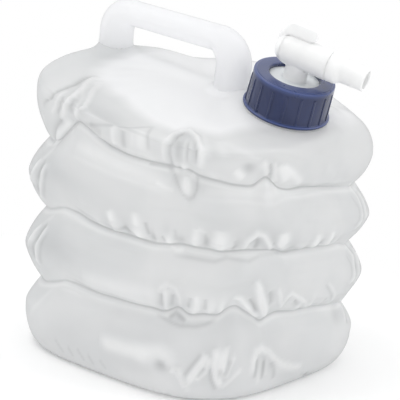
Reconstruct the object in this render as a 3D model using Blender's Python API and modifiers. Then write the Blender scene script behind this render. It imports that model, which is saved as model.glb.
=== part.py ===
"""Collapsible water carrier: a blow-moulded concertina bag with a carrying handle,
a threaded neck, a screw ring that clamps a sealing washer and a tap, and a tap core
that turns in the tap body.

The origin is the middle of the flat underside, +Z is up, and +X points along the
handle to the neck. The bag is shown opened out and slumped, as it stands when part
full: its pleats fan out with height and its top panel tips forward.
"""

import math

import bmesh
import bpy
import numpy as np
from mathutils import Matrix, Vector

# Bag section and pleats (metres)
CREST_HALF_WIDTH = 0.1135
PLEAT_DEPTH = 0.0113
SECTION_EXPONENT = 3.4
LOWEST_CREST_HEIGHT = 0.030
PLEAT_PITCH = 0.050
SKIN = 0.0009
SEAM_GAP = 0.0003
BASE_CORNER_WIDTH = 0.0132

# Crests and valleys as shares of their half widths, from the lowest up
CREST_SHARES = (0.980, 1.005, 1.012, 1.000)
VALLEY_SHARES = (0.982, 0.990, 0.992)
BASE_SHARES = (0.5, 1.0)

# Form of a pleat between two crests: (share of the pitch, share of the pleat's depth)
PLEAT_FORM_SHARES = (
    (0.0, 1.0), (0.18, 0.94), (0.32, 0.78), (0.42, 0.42), (0.5, 0.0), (0.58, 0.58), (0.69, 0.89),
    (0.82, 0.98),
)

# The slumped film lifts its valleys unevenly, lowest valley first: (share of the distance
# round the bag from the corner between its -Y and +X sides, rise as a share of the pitch)
VALLEY_RISE_SHARES = (
    (
        (-0.340, 0.02), (-0.295, -0.02), (-0.256, -0.08), (-0.236, -0.08), (-0.199, -0.02), (-0.154, 0.10),
        (-0.118, 0.18), (-0.064, 0.17), (-0.045, 0.16), (-0.032, 0.28), (-0.022, 0.20), (0.005, 0.22),
        (0.015, 0.38), (0.037, 0.26), (0.059, 0.14), (0.071, 0.26), (0.110, 0.22), (0.138, 0.20),
        (0.164, 0.10), (0.205, 0.0), (0.270, -0.04), (0.310, 0.06), (0.360, -0.04), (0.410, 0.05),
        (0.460, -0.03), (0.510, 0.06), (0.560, -0.05), (0.610, 0.03),
    ),
    (
        (-0.340, 0.0), (-0.295, -0.02), (-0.256, -0.06), (-0.201, 0.02), (-0.117, 0.02), (-0.049, 0.08),
        (-0.040, 0.14), (-0.029, 0.10), (0.0, 0.16), (0.019, 0.20), (0.046, 0.16), (0.060, 0.22),
        (0.126, 0.22), (0.151, 0.20), (0.172, 0.10), (0.205, 0.0), (0.260, 0.04), (0.320, -0.05),
        (0.380, 0.05), (0.430, -0.03), (0.490, 0.04), (0.550, -0.04), (0.600, 0.06),
    ),
    (
        (-0.295, -0.02), (-0.256, -0.10), (-0.228, -0.08), (-0.205, 0.0), (-0.188, 0.20), (-0.172, 0.38),
        (-0.130, 0.27), (-0.087, 0.18), (-0.055, 0.16), (-0.027, 0.11), (0.0, 0.12), (0.031, 0.10),
        (0.038, 0.24), (0.047, 0.08), (0.087, 0.10), (0.137, 0.09), (0.180, 0.04), (0.212, 0.0),
        (0.280, 0.05), (0.330, -0.03), (0.400, 0.06), (0.450, 0.0), (0.520, 0.05), (0.580, -0.04),
        (0.640, 0.03),
    ),
)

# Share of the highest valley's rise that the crest above it takes
CREST_FOLLOW_SHARE = 0.4

# The pleats fan out: a level's tilt grows with its height over these radii
BEND_RADIUS_X = 2.70
BEND_RADIUS_Y = 1.83

# Top panel
DECK_RISE = 0.031
DECK_TILT_X = math.radians(7.0)
DECK_TILT_Y = math.radians(-7.4)
SHOULDER_EXPONENT = 4.5
REAR_SHOULDER_EXPONENT = 11.0
AWAY_SHOULDER_EXPONENT = 2.3
AWAY_CORNER_SHARE = 1.5

# Carrying handle, measured in the top panel's frame
HANDLE_REAR_INSET = 0.0150
HANDLE_NECK_DISTANCE = 0.0515
HANDLE_REAR_HEIGHT = 0.0330
HANDLE_FRONT_HEIGHT = 0.0370
HANDLE_CORNER_RADIUS = 0.018
HANDLE_GRIP_RADIUS = 0.0100
HANDLE_LEG_RADIUS = 0.0135
HANDLE_WALL = 0.0016
HANDLE_ROOT_DEPTH = 0.015

# Neck, measured along its own axis from the top panel
NECK_INSET = 0.0415
NECK_TILT = math.radians(9.1)
NECK_CLEARANCE = 0.0014
NECK_WALL = 0.0024
NECK_COLLAR_FLARE = 0.0035
NECK_ROOT_DEPTH = 0.012

# Screw ring
RING_SEAT_HEIGHT = 0.0016
RING_HEIGHT = 0.0284
RING_SKIRT_RADIUS = 0.0310
RING_SKIRT_TAPER = 0.0007
RING_SKIRT_WALL = 0.0040
RING_BEAD_STEP = 0.0015
RING_BEAD_HEIGHT = 0.0024
RING_HOLE_LIP = 0.0078
RING_PLATE = 0.0030
RING_EDGE_RADIUS = 0.0016
FLUTE_COUNT = 18
FLUTE_RADIUS = 0.0070
FLUTE_DEPTH = 0.0004

# Sealing washer
WASHER_OVERHANG = 0.0017
WASHER_THICKNESS = 0.0018

# Tap body
TAP_FLANGE_CLEARANCE = 0.0025
TAP_FLANGE_THICKNESS = 0.0024
STEM_RADIUS = 0.0078
STEM_FOOT_RADIUS = 0.0095
STEM_BORE_RADIUS = 0.0054
BARREL_HEIGHT = 0.0471
BARREL_RADIUS = 0.0113
BARREL_REAR = 0.0140
BARREL_FRONT = 0.0235
TAP_SWIVEL_REST = math.radians(14.2)

# Tap core
CORE_RADIUS = 0.0088
CORE_BORE_RADIUS = 0.0064
CORE_END_LENGTH = 0.0060
CORE_PLUG_LENGTH = 0.0060
SPOUT_COLLAR_RADIUS = 0.0112
SPOUT_COLLAR_LENGTH = 0.0088
SPOUT_RADIUS = 0.0086
SPOUT_LENGTH = 0.0290
LEVER_HEIGHT = 0.0213
LEVER_HEEL_PLACE = 0.0170
LEVER_TOP_PLACE = 0.0098
LEVER_TOE_PLACE = -0.0093
LEVER_TOE_HEIGHT = 0.0136
LEVER_CORNER = 0.0016
LEVER_THICKNESS = 0.0042
LEVER_CLEARANCE = 0.0006

# How finely curves are drawn
SECTION_POINTS = 48
PLEAT_STEPS = 6
SHOULDER_STEPS = 9
TURNED_STEPS = 48
SMALL_TURNED_STEPS = 32
ARC_STEPS = 5

OVERRUN = 0.004
MERGE_DISTANCE = 0.00001
SMOOTH_ANGLE = math.radians(35.0)

# Sizes that follow from those above
PLEAT_COUNT = len(VALLEY_SHARES)
BELLOWS_TOP = LOWEST_CREST_HEIGHT + PLEAT_COUNT * PLEAT_PITCH
VALLEY_HALF_WIDTH = CREST_HALF_WIDTH - PLEAT_DEPTH
FLAT_BASE_HALF_WIDTH = CREST_HALF_WIDTH * CREST_SHARES[0] - BASE_CORNER_WIDTH
DECK_HEIGHT = BELLOWS_TOP + DECK_RISE
NECK_X = CREST_HALF_WIDTH - NECK_INSET
HANDLE_REAR_X = HANDLE_REAR_INSET - CREST_HALF_WIDTH
HANDLE_FRONT_X = NECK_X - HANDLE_NECK_DISTANCE
RING_TOP = RING_SEAT_HEIGHT + RING_HEIGHT
RING_TOP_RADIUS = RING_SKIRT_RADIUS - RING_SKIRT_TAPER
RING_BEAD_RADIUS = RING_SKIRT_RADIUS + RING_BEAD_STEP
RING_BORE_RADIUS = RING_SKIRT_RADIUS - RING_SKIRT_WALL
RING_HOLE_RADIUS = RING_BORE_RADIUS - RING_HOLE_LIP
NECK_RADIUS = RING_BORE_RADIUS - NECK_CLEARANCE
NECK_BORE_RADIUS = NECK_RADIUS - NECK_WALL
NECK_COLLAR_RADIUS = RING_SKIRT_RADIUS + NECK_COLLAR_FLARE
WASHER_INNER_RADIUS = NECK_BORE_RADIUS - WASHER_OVERHANG
TAP_FLANGE_RADIUS = RING_BORE_RADIUS - TAP_FLANGE_CLEARANCE
TAP_FLANGE_TOP = RING_TOP - RING_PLATE - SEAM_GAP
TAP_FLANGE_BOTTOM = TAP_FLANGE_TOP - TAP_FLANGE_THICKNESS
WASHER_TOP = TAP_FLANGE_BOTTOM - SEAM_GAP
WASHER_BOTTOM = WASHER_TOP - WASHER_THICKNESS
NECK_RIM = WASHER_BOTTOM - SEAM_GAP
BARREL_BORE_RADIUS = CORE_RADIUS + SEAM_GAP


def clear_scene():
    for scene_object in list(bpy.data.objects):
        bpy.data.objects.remove(scene_object, do_unlink=True)


def make_collection(name):
    collection = bpy.data.collections.new(name)
    bpy.context.scene.collection.children.link(collection)
    return collection


def make_material(name, colour, roughness, metallic=0.0):
    material = bpy.data.materials.new(name)
    material.use_nodes = True
    shader = material.node_tree.nodes["Principled BSDF"]
    shader.inputs["Base Color"].default_value = (*colour, 1.0)
    shader.inputs["Roughness"].default_value = roughness
    shader.inputs["Metallic"].default_value = metallic
    material.diffuse_color = (*colour, 1.0)
    return material


def add_part(name, mesh, collection, material, parent=None):
    """Put a mesh in the scene as a named sub-part, placed by its parent's frame."""
    part = bpy.data.objects.new(name, mesh)
    collection.objects.link(part)
    part.parent = parent
    mesh.materials.append(material)
    mesh.shade_smooth()
    mesh.set_sharp_from_angle(angle=SMOOTH_ANGLE)
    return part


def add_cutter(name, mesh, collection, parent=None):
    cutter = bpy.data.objects.new(name, mesh)
    collection.objects.link(cutter)
    cutter.parent = parent
    cutter.hide_render = True
    cutter.display_type = "WIRE"
    return cutter


def add_frame(name, collection, matrix, parent=None):
    """An empty that carries the pieces of one moving group."""
    frame = bpy.data.objects.new(name, None)
    collection.objects.link(frame)
    frame.parent = parent
    frame.matrix_local = matrix
    return frame


def add_boolean(target, cutter, operation="DIFFERENCE"):
    boolean = target.modifiers.new(cutter.name, "BOOLEAN")
    boolean.operation = operation
    boolean.object = cutter


def section_direction(step):
    """Unit section of the bag at one step round it: a square with well rounded corners."""
    angle = 2.0 * math.pi * step / SECTION_POINTS
    x = math.cos(angle)
    y = math.sin(angle)
    size = (abs(x) ** SECTION_EXPONENT + abs(y) ** SECTION_EXPONENT) ** (1.0 / SECTION_EXPONENT)
    return Vector((x / size, y / size))


def level_height(height, x, y):
    """Height of a pleat level where the bag's bend has tilted it."""
    return height * (1.0 - x / BEND_RADIUS_X - y / BEND_RADIUS_Y)


def deck_height(x, y):
    """Height of the top panel's plane."""
    return DECK_HEIGHT - x * math.tan(DECK_TILT_X) - y * math.tan(DECK_TILT_Y)


def level_ring(half_width, heights):
    """Ring at one half width; the heights are one number, or one for each step."""
    points = []
    for step, height in zip(range(SECTION_POINTS), np.broadcast_to(heights, SECTION_POINTS)):
        x, y = section_direction(step) * half_width
        points.append(Vector((x, y, level_height(float(height), x, y))))
    return points


def distance_shares():
    """Each step's distance round the bag, as a share of the whole, from the -Y and +X corner."""
    corners = [section_direction(step) for step in range(SECTION_POINTS + 1)]
    sides = [(end - start).length for start, end in zip(corners, corners[1:])]
    travelled = np.cumsum([0.0] + sides[:-1])
    return travelled / sum(sides) + 1.0 / 8.0


def valley_heights(valley):
    """Height of a valley's crease at each step round the bag."""
    places, rises = zip(*VALLEY_RISE_SHARES[valley])
    rise = np.interp(distance_shares(), places, rises, period=1.0)
    return LOWEST_CREST_HEIGHT + (valley + 0.5 + rise) * PLEAT_PITCH


def top_crest_heights():
    """Height of the highest crest, which follows the valley below it part of the way."""
    rise = valley_heights(PLEAT_COUNT - 1) - BELLOWS_TOP + PLEAT_PITCH / 2
    return BELLOWS_TOP + CREST_FOLLOW_SHARE * rise


def shoulder_exponent(direction):
    """How square the shoulder is: full at the rear, and sloping at the two corners of the +Y side."""
    rearward = max(-direction.x, 0.0) * (1.0 - max(direction.y, 0.0))
    away = min(AWAY_CORNER_SHARE * abs(direction.x) * max(direction.y, 0.0), 1.0)
    exponent = SHOULDER_EXPONENT + (REAR_SHOULDER_EXPONENT - SHOULDER_EXPONENT) * rearward
    return exponent + (AWAY_SHOULDER_EXPONENT - exponent) * away


def shoulder_ring(share, offset=0.0):
    """Ring of the top panel's dome, at a share of the crest's half width."""
    points = []
    for step, crest_height in enumerate(top_crest_heights()):
        direction = section_direction(step)
        x, y = direction * CREST_HALF_WIDTH * CREST_SHARES[-1] * share
        exponent = shoulder_exponent(direction)
        rise = max(1.0 - share ** exponent, 0.0) ** (1.0 / exponent)
        crest = level_height(float(crest_height) + SEAM_GAP, x, y)
        height = crest + (deck_height(x, y) - crest) * rise
        outward = direction * offset
        points.append(Vector((x + outward.x, y + outward.y, height + offset * rise)))
    return points


def loft(name, rings, capped=True):
    """Skin a row of rings; the first and last are capped, or else joined to each other."""
    shape = bmesh.new()
    rows = [[shape.verts.new(point) for point in ring] for ring in rings]
    following_rows = rows[1:] if capped else rows[1:] + rows[:1]
    for lower, upper in zip(rows, following_rows):
        for index in range(len(lower)):
            following = (index + 1) % len(lower)
            shape.faces.new((lower[index], lower[following], upper[following], upper[index]))
    if capped:
        shape.faces.new(reversed(rows[0]))
        shape.faces.new(rows[-1])
    bmesh.ops.recalc_face_normals(shape, faces=shape.faces)
    mesh = bpy.data.meshes.new(name)
    shape.to_mesh(mesh)
    shape.free()
    return mesh


def turned_mesh(name, profile):
    """A turned shape: the profile runs down its outer side, and Screw takes it round."""
    shape = bmesh.new()
    points = [shape.verts.new((radius, 0.0, height)) for radius, height in profile]
    for start, end in zip(points, points[1:]):
        shape.edges.new((start, end))
    if profile[0][0] > 0.0:
        shape.edges.new((points[-1], points[0]))
    mesh = bpy.data.meshes.new(name)
    shape.to_mesh(mesh)
    shape.free()
    return mesh


def add_turning(part, steps):
    turning = part.modifiers.new("Turning", "SCREW")
    turning.steps = steps
    turning.render_steps = steps
    turning.use_merge_vertices = True
    turning.merge_threshold = MERGE_DISTANCE
    turning.use_smooth_shade = True


def arc(centre, radius, start, end, steps=ARC_STEPS):
    """Points along an arc in the profile plane, both ends included."""
    points = []
    for step in range(steps + 1):
        angle = start + (end - start) * step / steps
        points.append((centre[0] + radius * math.cos(angle), centre[1] + radius * math.sin(angle)))
    return points


def cylinder_mesh(name, radius, bottom, top, steps=SMALL_TURNED_STEPS):
    shape = bmesh.new()
    middle = Matrix.Translation((0.0, 0.0, (bottom + top) / 2))
    bmesh.ops.create_cone(
        shape, cap_ends=True, segments=steps, radius1=radius, radius2=radius, depth=top - bottom, matrix=middle
    )
    mesh = bpy.data.meshes.new(name)
    shape.to_mesh(mesh)
    shape.free()
    return mesh


def base_rings(inset):
    """Rings of the underside, from its middle out and up to the lowest crest."""
    rim = LOWEST_CREST_HEIGHT - SEAM_GAP
    rings = [level_ring(FLAT_BASE_HALF_WIDTH * share, inset) for share in BASE_SHARES]
    for step in range(PLEAT_STEPS):
        angle = math.pi / 2 * (step + 1) / PLEAT_STEPS
        half_width = FLAT_BASE_HALF_WIDTH + (BASE_CORNER_WIDTH - inset) * math.sin(angle)
        rings.append(level_ring(half_width, rim - (rim - inset) * math.cos(angle)))
    return rings


def make_base_pan(collection, material):
    """Underside and the lower half of the lowest pleat."""
    rings = base_rings(0.0) + list(reversed(base_rings(SKIN)))
    add_part("base_pan", loft("base_pan", rings), collection, material)


def pleat_heights(place):
    """Heights of the film at a place counted in pleats, evenly spread between the creases."""
    if place < 0.5:
        upper = valley_heights(0)
        return LOWEST_CREST_HEIGHT + (upper - LOWEST_CREST_HEIGHT) * place * 2.0
    if place > PLEAT_COUNT - 0.5:
        lower = valley_heights(PLEAT_COUNT - 1)
        return lower + (top_crest_heights() - lower) * ((place - PLEAT_COUNT) * 2.0 + 1.0)
    valley = min(int(place - 0.5), PLEAT_COUNT - 2)
    lower = valley_heights(valley)
    return lower + (valley_heights(valley + 1) - lower) * (place - 0.5 - valley)


def pleat_rings(inset):
    rings = []
    for pleat in range(PLEAT_COUNT):
        valley = VALLEY_HALF_WIDTH * VALLEY_SHARES[pleat]
        for place, depth_share in PLEAT_FORM_SHARES:
            crest = CREST_HALF_WIDTH * CREST_SHARES[pleat + round(place)]
            half_width = valley + (crest - valley) * depth_share
            rings.append(level_ring(half_width - inset, pleat_heights(pleat + place)))
    top = CREST_HALF_WIDTH * CREST_SHARES[-1]
    rings.append(level_ring(top - inset, top_crest_heights()))
    return rings


def make_bellows(collection, material):
    """Pleats with sharp valleys and round crests, from the lowest crest to the highest."""
    rings = pleat_rings(0.0) + list(reversed(pleat_rings(SKIN)))
    add_part("bellows", loft("bellows", rings, capped=False), collection, material)


def shoulder_rings(offset=0.0):
    """Rings up the shoulder, close together where it turns."""
    shares = [math.cos(math.pi / 2 * step / SHOULDER_STEPS) ** 0.5 for step in range(SHOULDER_STEPS)]
    return [shoulder_ring(share, offset) for share in shares]


def make_top_panel(collection, material):
    """The upper half of the top pleat, its shoulder and the top panel."""
    rings = list(reversed(shoulder_rings())) + shoulder_rings(-SKIN)
    return add_part("top_panel", loft("top_panel", rings), collection, material)


def make_panel_trimmer(cutters):
    """The top panel's outer form as a solid, which trims what stands on it."""
    under = level_ring(CREST_HALF_WIDTH * CREST_SHARES[-1] + SEAM_GAP, BELLOWS_TOP - PLEAT_PITCH / 2)
    rings = [under] + shoulder_rings(SEAM_GAP)
    mesh = loft("panel_trimmer", rings)
    return add_cutter("panel_trimmer", mesh, cutters)


def handle_route():
    """Centre line and radius of the handle: two legs, two round corners and a straight grip."""
    route = []
    radius = HANDLE_CORNER_RADIUS
    for foot_x, top, side in (
        (HANDLE_REAR_X, HANDLE_REAR_HEIGHT, -1.0),
        (HANDLE_FRONT_X, HANDLE_FRONT_HEIGHT, 1.0),
    ):
        leg = []
        centre_x = foot_x - side * radius
        centre_z = top - radius
        leg.append((foot_x, -HANDLE_ROOT_DEPTH, HANDLE_LEG_RADIUS))
        leg.append((foot_x, 0.0, HANDLE_LEG_RADIUS))
        for step in range(ARC_STEPS + 1):
            angle = math.pi / 2 * step / ARC_STEPS
            x = centre_x + side * radius * math.cos(angle)
            z = centre_z + radius * math.sin(angle)
            taper = (step / ARC_STEPS) ** 2
            leg.append((x, z, HANDLE_LEG_RADIUS + (HANDLE_GRIP_RADIUS - HANDLE_LEG_RADIUS) * taper))
        route.append(leg)
    return route[0] + list(reversed(route[1]))


def make_handle(collection, cutters, material, deck, trimmer):
    curve = bpy.data.curves.new("handle_route", "CURVE")
    curve.dimensions = "3D"
    curve.bevel_depth = HANDLE_GRIP_RADIUS
    curve.bevel_resolution = 4
    spline = curve.splines.new("POLY")
    route = handle_route()
    spline.points.add(len(route) - 1)
    for point, (x, z, radius) in zip(spline.points, route):
        point.co = (x, 0.0, z, 1.0)
        point.radius = radius / HANDLE_GRIP_RADIUS
    tube = bpy.data.objects.new("handle_route", curve)
    cutters.objects.link(tube)
    bpy.context.view_layer.update()
    mesh = bpy.data.meshes.new_from_object(tube.evaluated_get(bpy.context.evaluated_depsgraph_get()))
    bpy.data.objects.remove(tube, do_unlink=True)
    part = add_part("carry_handle", mesh, collection, material, deck)
    wall = part.modifiers.new("Wall", "SOLIDIFY")
    wall.thickness = HANDLE_WALL
    wall.offset = -1.0
    wall.use_even_offset = True
    add_boolean(part, trimmer)


def cut_handle_openings(panel, cutters, deck):
    """The handle is hollow and opens into the bag under each leg."""
    bore = HANDLE_LEG_RADIUS - HANDLE_WALL
    for name, x in (("rear_leg_bore", HANDLE_REAR_X), ("front_leg_bore", HANDLE_FRONT_X)):
        mesh = cylinder_mesh(name, bore, -HANDLE_ROOT_DEPTH, OVERRUN)
        cutter = add_cutter(name, mesh, cutters, deck)
        cutter.location = (x, 0.0, 0.0)
        add_boolean(panel, cutter)


def make_neck(collection, material, neck_frame, trimmer):
    profile = [
        (NECK_RADIUS, NECK_RIM),
        (NECK_RADIUS, RING_SEAT_HEIGHT),
        (RING_SKIRT_RADIUS, RING_SEAT_HEIGHT - SEAM_GAP),
        (NECK_COLLAR_RADIUS, -NECK_ROOT_DEPTH),
        (NECK_BORE_RADIUS, -NECK_ROOT_DEPTH),
        (NECK_BORE_RADIUS, NECK_RIM),
    ]
    part = add_part("neck", turned_mesh("neck", profile), collection, material, neck_frame)
    add_turning(part, TURNED_STEPS)
    add_boolean(part, trimmer)


def cut_neck_opening(panel, cutters, neck_frame):
    mesh = cylinder_mesh("neck_bore", NECK_BORE_RADIUS, -NECK_ROOT_DEPTH - OVERRUN, NECK_RIM, TURNED_STEPS)
    add_boolean(panel, add_cutter("neck_bore", mesh, cutters, neck_frame))


def make_cap_ring(collection, cutters, material, neck_frame):
    edge = (RING_TOP_RADIUS - RING_EDGE_RADIUS, RING_TOP - RING_EDGE_RADIUS)
    bead_top = RING_SEAT_HEIGHT + RING_BEAD_HEIGHT
    bead_half = RING_BEAD_HEIGHT / 2
    profile = [(RING_HOLE_RADIUS, RING_TOP)]
    profile += arc(edge, RING_EDGE_RADIUS, math.pi / 2, 0.0)
    profile.append((RING_SKIRT_RADIUS, bead_top))
    profile.append((RING_BEAD_RADIUS, bead_top - bead_half / 2))
    profile.append((RING_BEAD_RADIUS, RING_SEAT_HEIGHT + bead_half / 2))
    profile.append((RING_SKIRT_RADIUS, RING_SEAT_HEIGHT))
    profile.append((RING_BORE_RADIUS, RING_SEAT_HEIGHT))
    profile.append((RING_BORE_RADIUS, RING_TOP - RING_PLATE))
    profile.append((RING_HOLE_RADIUS, RING_TOP - RING_PLATE))
    part = add_part("cap_ring", turned_mesh("cap_ring", profile), collection, material, neck_frame)
    add_turning(part, TURNED_STEPS)
    add_boolean(part, make_flutes(cutters, neck_frame, bead_top))


def make_flutes(cutters, neck_frame, bottom):
    """Shallow grip flutes round the ring's skirt, as one cutter."""
    shape = bmesh.new()
    distance = RING_SKIRT_RADIUS + FLUTE_RADIUS - FLUTE_DEPTH
    top = RING_TOP - 2 * RING_EDGE_RADIUS
    for index in range(FLUTE_COUNT):
        turn = Matrix.Rotation(2.0 * math.pi * index / FLUTE_COUNT, 4, "Z")
        place = turn @ Matrix.Translation((distance, 0.0, (bottom + top) / 2))
        bmesh.ops.create_cone(
            shape, cap_ends=True, segments=SMALL_TURNED_STEPS, radius1=FLUTE_RADIUS, radius2=FLUTE_RADIUS,
            depth=top - bottom - FLUTE_DEPTH, matrix=place
        )
    mesh = bpy.data.meshes.new("flutes")
    shape.to_mesh(mesh)
    shape.free()
    return add_cutter("flutes", mesh, cutters, neck_frame)


def make_washer(collection, material, neck_frame):
    profile = [
        (NECK_RADIUS, WASHER_TOP),
        (NECK_RADIUS, WASHER_BOTTOM),
        (WASHER_INNER_RADIUS, WASHER_BOTTOM),
        (WASHER_INNER_RADIUS, WASHER_TOP),
    ]
    mesh = turned_mesh("sealing_washer", profile)
    part = add_part("sealing_washer", mesh, collection, material, neck_frame)
    add_turning(part, TURNED_STEPS)


def make_tap_body(collection, cutters, material, tap_frame, barrel_frame):
    foot = STEM_FOOT_RADIUS - STEM_RADIUS
    profile = [(0.0, BARREL_HEIGHT), (STEM_RADIUS, BARREL_HEIGHT)]
    profile += arc((STEM_FOOT_RADIUS, TAP_FLANGE_TOP + foot), foot, math.pi, 1.5 * math.pi)
    profile.append((TAP_FLANGE_RADIUS, TAP_FLANGE_TOP))
    profile.append((TAP_FLANGE_RADIUS, TAP_FLANGE_BOTTOM))
    profile.append((0.0, TAP_FLANGE_BOTTOM))
    mesh = turned_mesh("tap_body", profile)
    part = add_part("tap_body", mesh, collection, material, tap_frame)
    add_turning(part, SMALL_TURNED_STEPS)
    barrel = cylinder_mesh("barrel", BARREL_RADIUS, -BARREL_FRONT, BARREL_REAR)
    add_boolean(part, add_cutter("barrel", barrel, cutters, barrel_frame), "UNION")
    bore = cylinder_mesh("barrel_bore", BARREL_BORE_RADIUS, -BARREL_FRONT - OVERRUN, BARREL_REAR + OVERRUN)
    add_boolean(part, add_cutter("barrel_bore", bore, cutters, barrel_frame))
    stem = cylinder_mesh("stem_bore", STEM_BORE_RADIUS, TAP_FLANGE_BOTTOM - OVERRUN, BARREL_HEIGHT)
    add_boolean(part, add_cutter("stem_bore", stem, cutters, tap_frame))


def core_profile():
    """Closed domed end at the top, spout tip at the bottom, with a bore up from the tip."""
    rear = BARREL_REAR + SEAM_GAP
    front = -BARREL_FRONT - SEAM_GAP
    collar_end = front - SPOUT_COLLAR_LENGTH
    tip = front - SPOUT_LENGTH
    dome = [
        (BARREL_RADIUS * math.cos(angle), rear + CORE_END_LENGTH * math.sin(angle))
        for angle in (math.pi / 2 * (1.0 - step / ARC_STEPS) for step in range(ARC_STEPS + 1))
    ]
    dome[0] = (0.0, rear + CORE_END_LENGTH)
    step_down = SPOUT_COLLAR_RADIUS - SPOUT_RADIUS
    body = [
        (CORE_RADIUS, rear),
        (CORE_RADIUS, front),
        (SPOUT_COLLAR_RADIUS, front),
        (SPOUT_COLLAR_RADIUS, collar_end + step_down / 2),
        (SPOUT_RADIUS, collar_end - step_down),
        (SPOUT_RADIUS, tip),
        (CORE_BORE_RADIUS, tip),
        (CORE_BORE_RADIUS, BARREL_REAR - CORE_PLUG_LENGTH),
        (0.0, BARREL_REAR - CORE_PLUG_LENGTH),
    ]
    return dome + body


def lever_outline():
    """The lever's flat outline: radius from the barrel's axis, and place along it."""
    under = BARREL_RADIUS + LEVER_CLEARANCE
    root = BARREL_REAR + LEVER_CLEARANCE
    top = LEVER_HEIGHT
    return [
        (CORE_RADIUS / 2, LEVER_HEEL_PLACE),
        (CORE_RADIUS, LEVER_HEEL_PLACE),
        (top - LEVER_CORNER, LEVER_TOP_PLACE + 2 * LEVER_CORNER),
        (top, LEVER_TOP_PLACE),
        (top, LEVER_TOE_PLACE + LEVER_CORNER),
        (top - LEVER_CORNER, LEVER_TOE_PLACE),
        (LEVER_TOE_HEIGHT, LEVER_TOE_PLACE),
        (under, LEVER_TOE_PLACE / 2),
        (under, root),
        (CORE_RADIUS / 2, root),
    ]


def make_lever(cutters, barrel_frame):
    shape = bmesh.new()
    half = LEVER_THICKNESS / 2
    corners = [shape.verts.new((radius, -half, place)) for radius, place in lever_outline()]
    face = shape.faces.new(corners)
    raised = bmesh.ops.extrude_face_region(shape, geom=[face])
    corners = [item for item in raised["geom"] if isinstance(item, bmesh.types.BMVert)]
    bmesh.ops.translate(shape, verts=corners, vec=(0.0, LEVER_THICKNESS, 0.0))
    bmesh.ops.recalc_face_normals(shape, faces=shape.faces)
    mesh = bpy.data.meshes.new("lever")
    shape.to_mesh(mesh)
    shape.free()
    return add_cutter("lever", mesh, cutters, barrel_frame)


def make_tap_core(collection, cutters, material, barrel_frame):
    mesh = turned_mesh("tap_core", core_profile())
    part = add_part("tap_core", mesh, collection, material, barrel_frame)
    add_turning(part, SMALL_TURNED_STEPS)
    add_boolean(part, make_lever(cutters, barrel_frame), "UNION")
    window = cylinder_mesh("core_window", CORE_BORE_RADIUS, 0.0, BARREL_RADIUS)
    cutter = add_cutter("core_window", window, cutters, barrel_frame)
    cutter.rotation_euler = (-math.pi / 2, 0.0, 0.0)
    add_boolean(part, cutter)


def deck_matrix():
    """Frame of the top panel: X runs along the handle, Z is square to the panel."""
    z_axis = Vector((math.tan(DECK_TILT_X), math.tan(DECK_TILT_Y), 1.0)).normalized()
    x_axis = Vector((1.0, 0.0, -math.tan(DECK_TILT_X))).normalized()
    y_axis = z_axis.cross(x_axis)
    matrix = Matrix((x_axis, y_axis, z_axis)).transposed().to_4x4()
    matrix.translation = (0.0, 0.0, DECK_HEIGHT)
    return matrix


def barrel_matrix():
    """Frame of the tap's barrel: Z runs along it to the closed end, X points up the stem."""
    lift = Matrix.Translation((0.0, 0.0, BARREL_HEIGHT))
    return lift @ Matrix.Rotation(-math.pi / 2, 4, "Y")


def build():
    clear_scene()
    collection = make_collection("collapsible_water_carrier")
    cutters = make_collection("cutters")
    film = make_material("frosted_polyethylene", (0.78, 0.81, 0.83), 0.32)
    navy = make_material("navy_plastic", (0.045, 0.060, 0.190), 0.28)
    white = make_material("white_plastic", (0.90, 0.91, 0.91), 0.30)
    rubber = make_material("washer_rubber", (0.62, 0.63, 0.62), 0.60)

    deck = add_frame("deck_frame", collection, deck_matrix())
    neck_place = Matrix.Translation((NECK_X, 0.0, 0.0)) @ Matrix.Rotation(NECK_TILT, 4, "Y")
    neck_frame = add_frame("neck_frame", collection, neck_place, deck)
    swivel = Matrix.Rotation(TAP_SWIVEL_REST, 4, "Z")
    tap_frame = add_frame("tap_frame", collection, swivel, neck_frame)
    barrel_frame = add_frame("barrel_frame", collection, barrel_matrix(), tap_frame)

    make_base_pan(collection, film)
    make_bellows(collection, film)
    panel = make_top_panel(collection, film)
    trimmer = make_panel_trimmer(cutters)
    cut_handle_openings(panel, cutters, deck)
    cut_neck_opening(panel, cutters, neck_frame)
    make_handle(collection, cutters, film, deck, trimmer)
    make_neck(collection, film, neck_frame, trimmer)
    make_cap_ring(collection, cutters, navy, neck_frame)
    make_washer(collection, rubber, neck_frame)
    make_tap_body(collection, cutters, white, tap_frame, barrel_frame)
    make_tap_core(collection, cutters, white, barrel_frame)
    bpy.context.view_layer.update()


build()
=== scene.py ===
"""Collapsible water carrier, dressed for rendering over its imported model.

The bag is one continuous sheet of frosted film with its pleats, folds and puckers. The
carrying handle, the threaded neck, the screw ring, the washer and the tap are built over
the model's own sizes. Everything is in metres, in the model's frame: +Z is up and +X
points along the handle to the neck.
"""

import math
import random

import bmesh
import bpy
import numpy as np
from bpy.props import FloatProperty, FloatVectorProperty, IntProperty, PointerProperty
from bpy.types import Operator, Panel, PropertyGroup
from mathutils import Matrix, Vector


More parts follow.
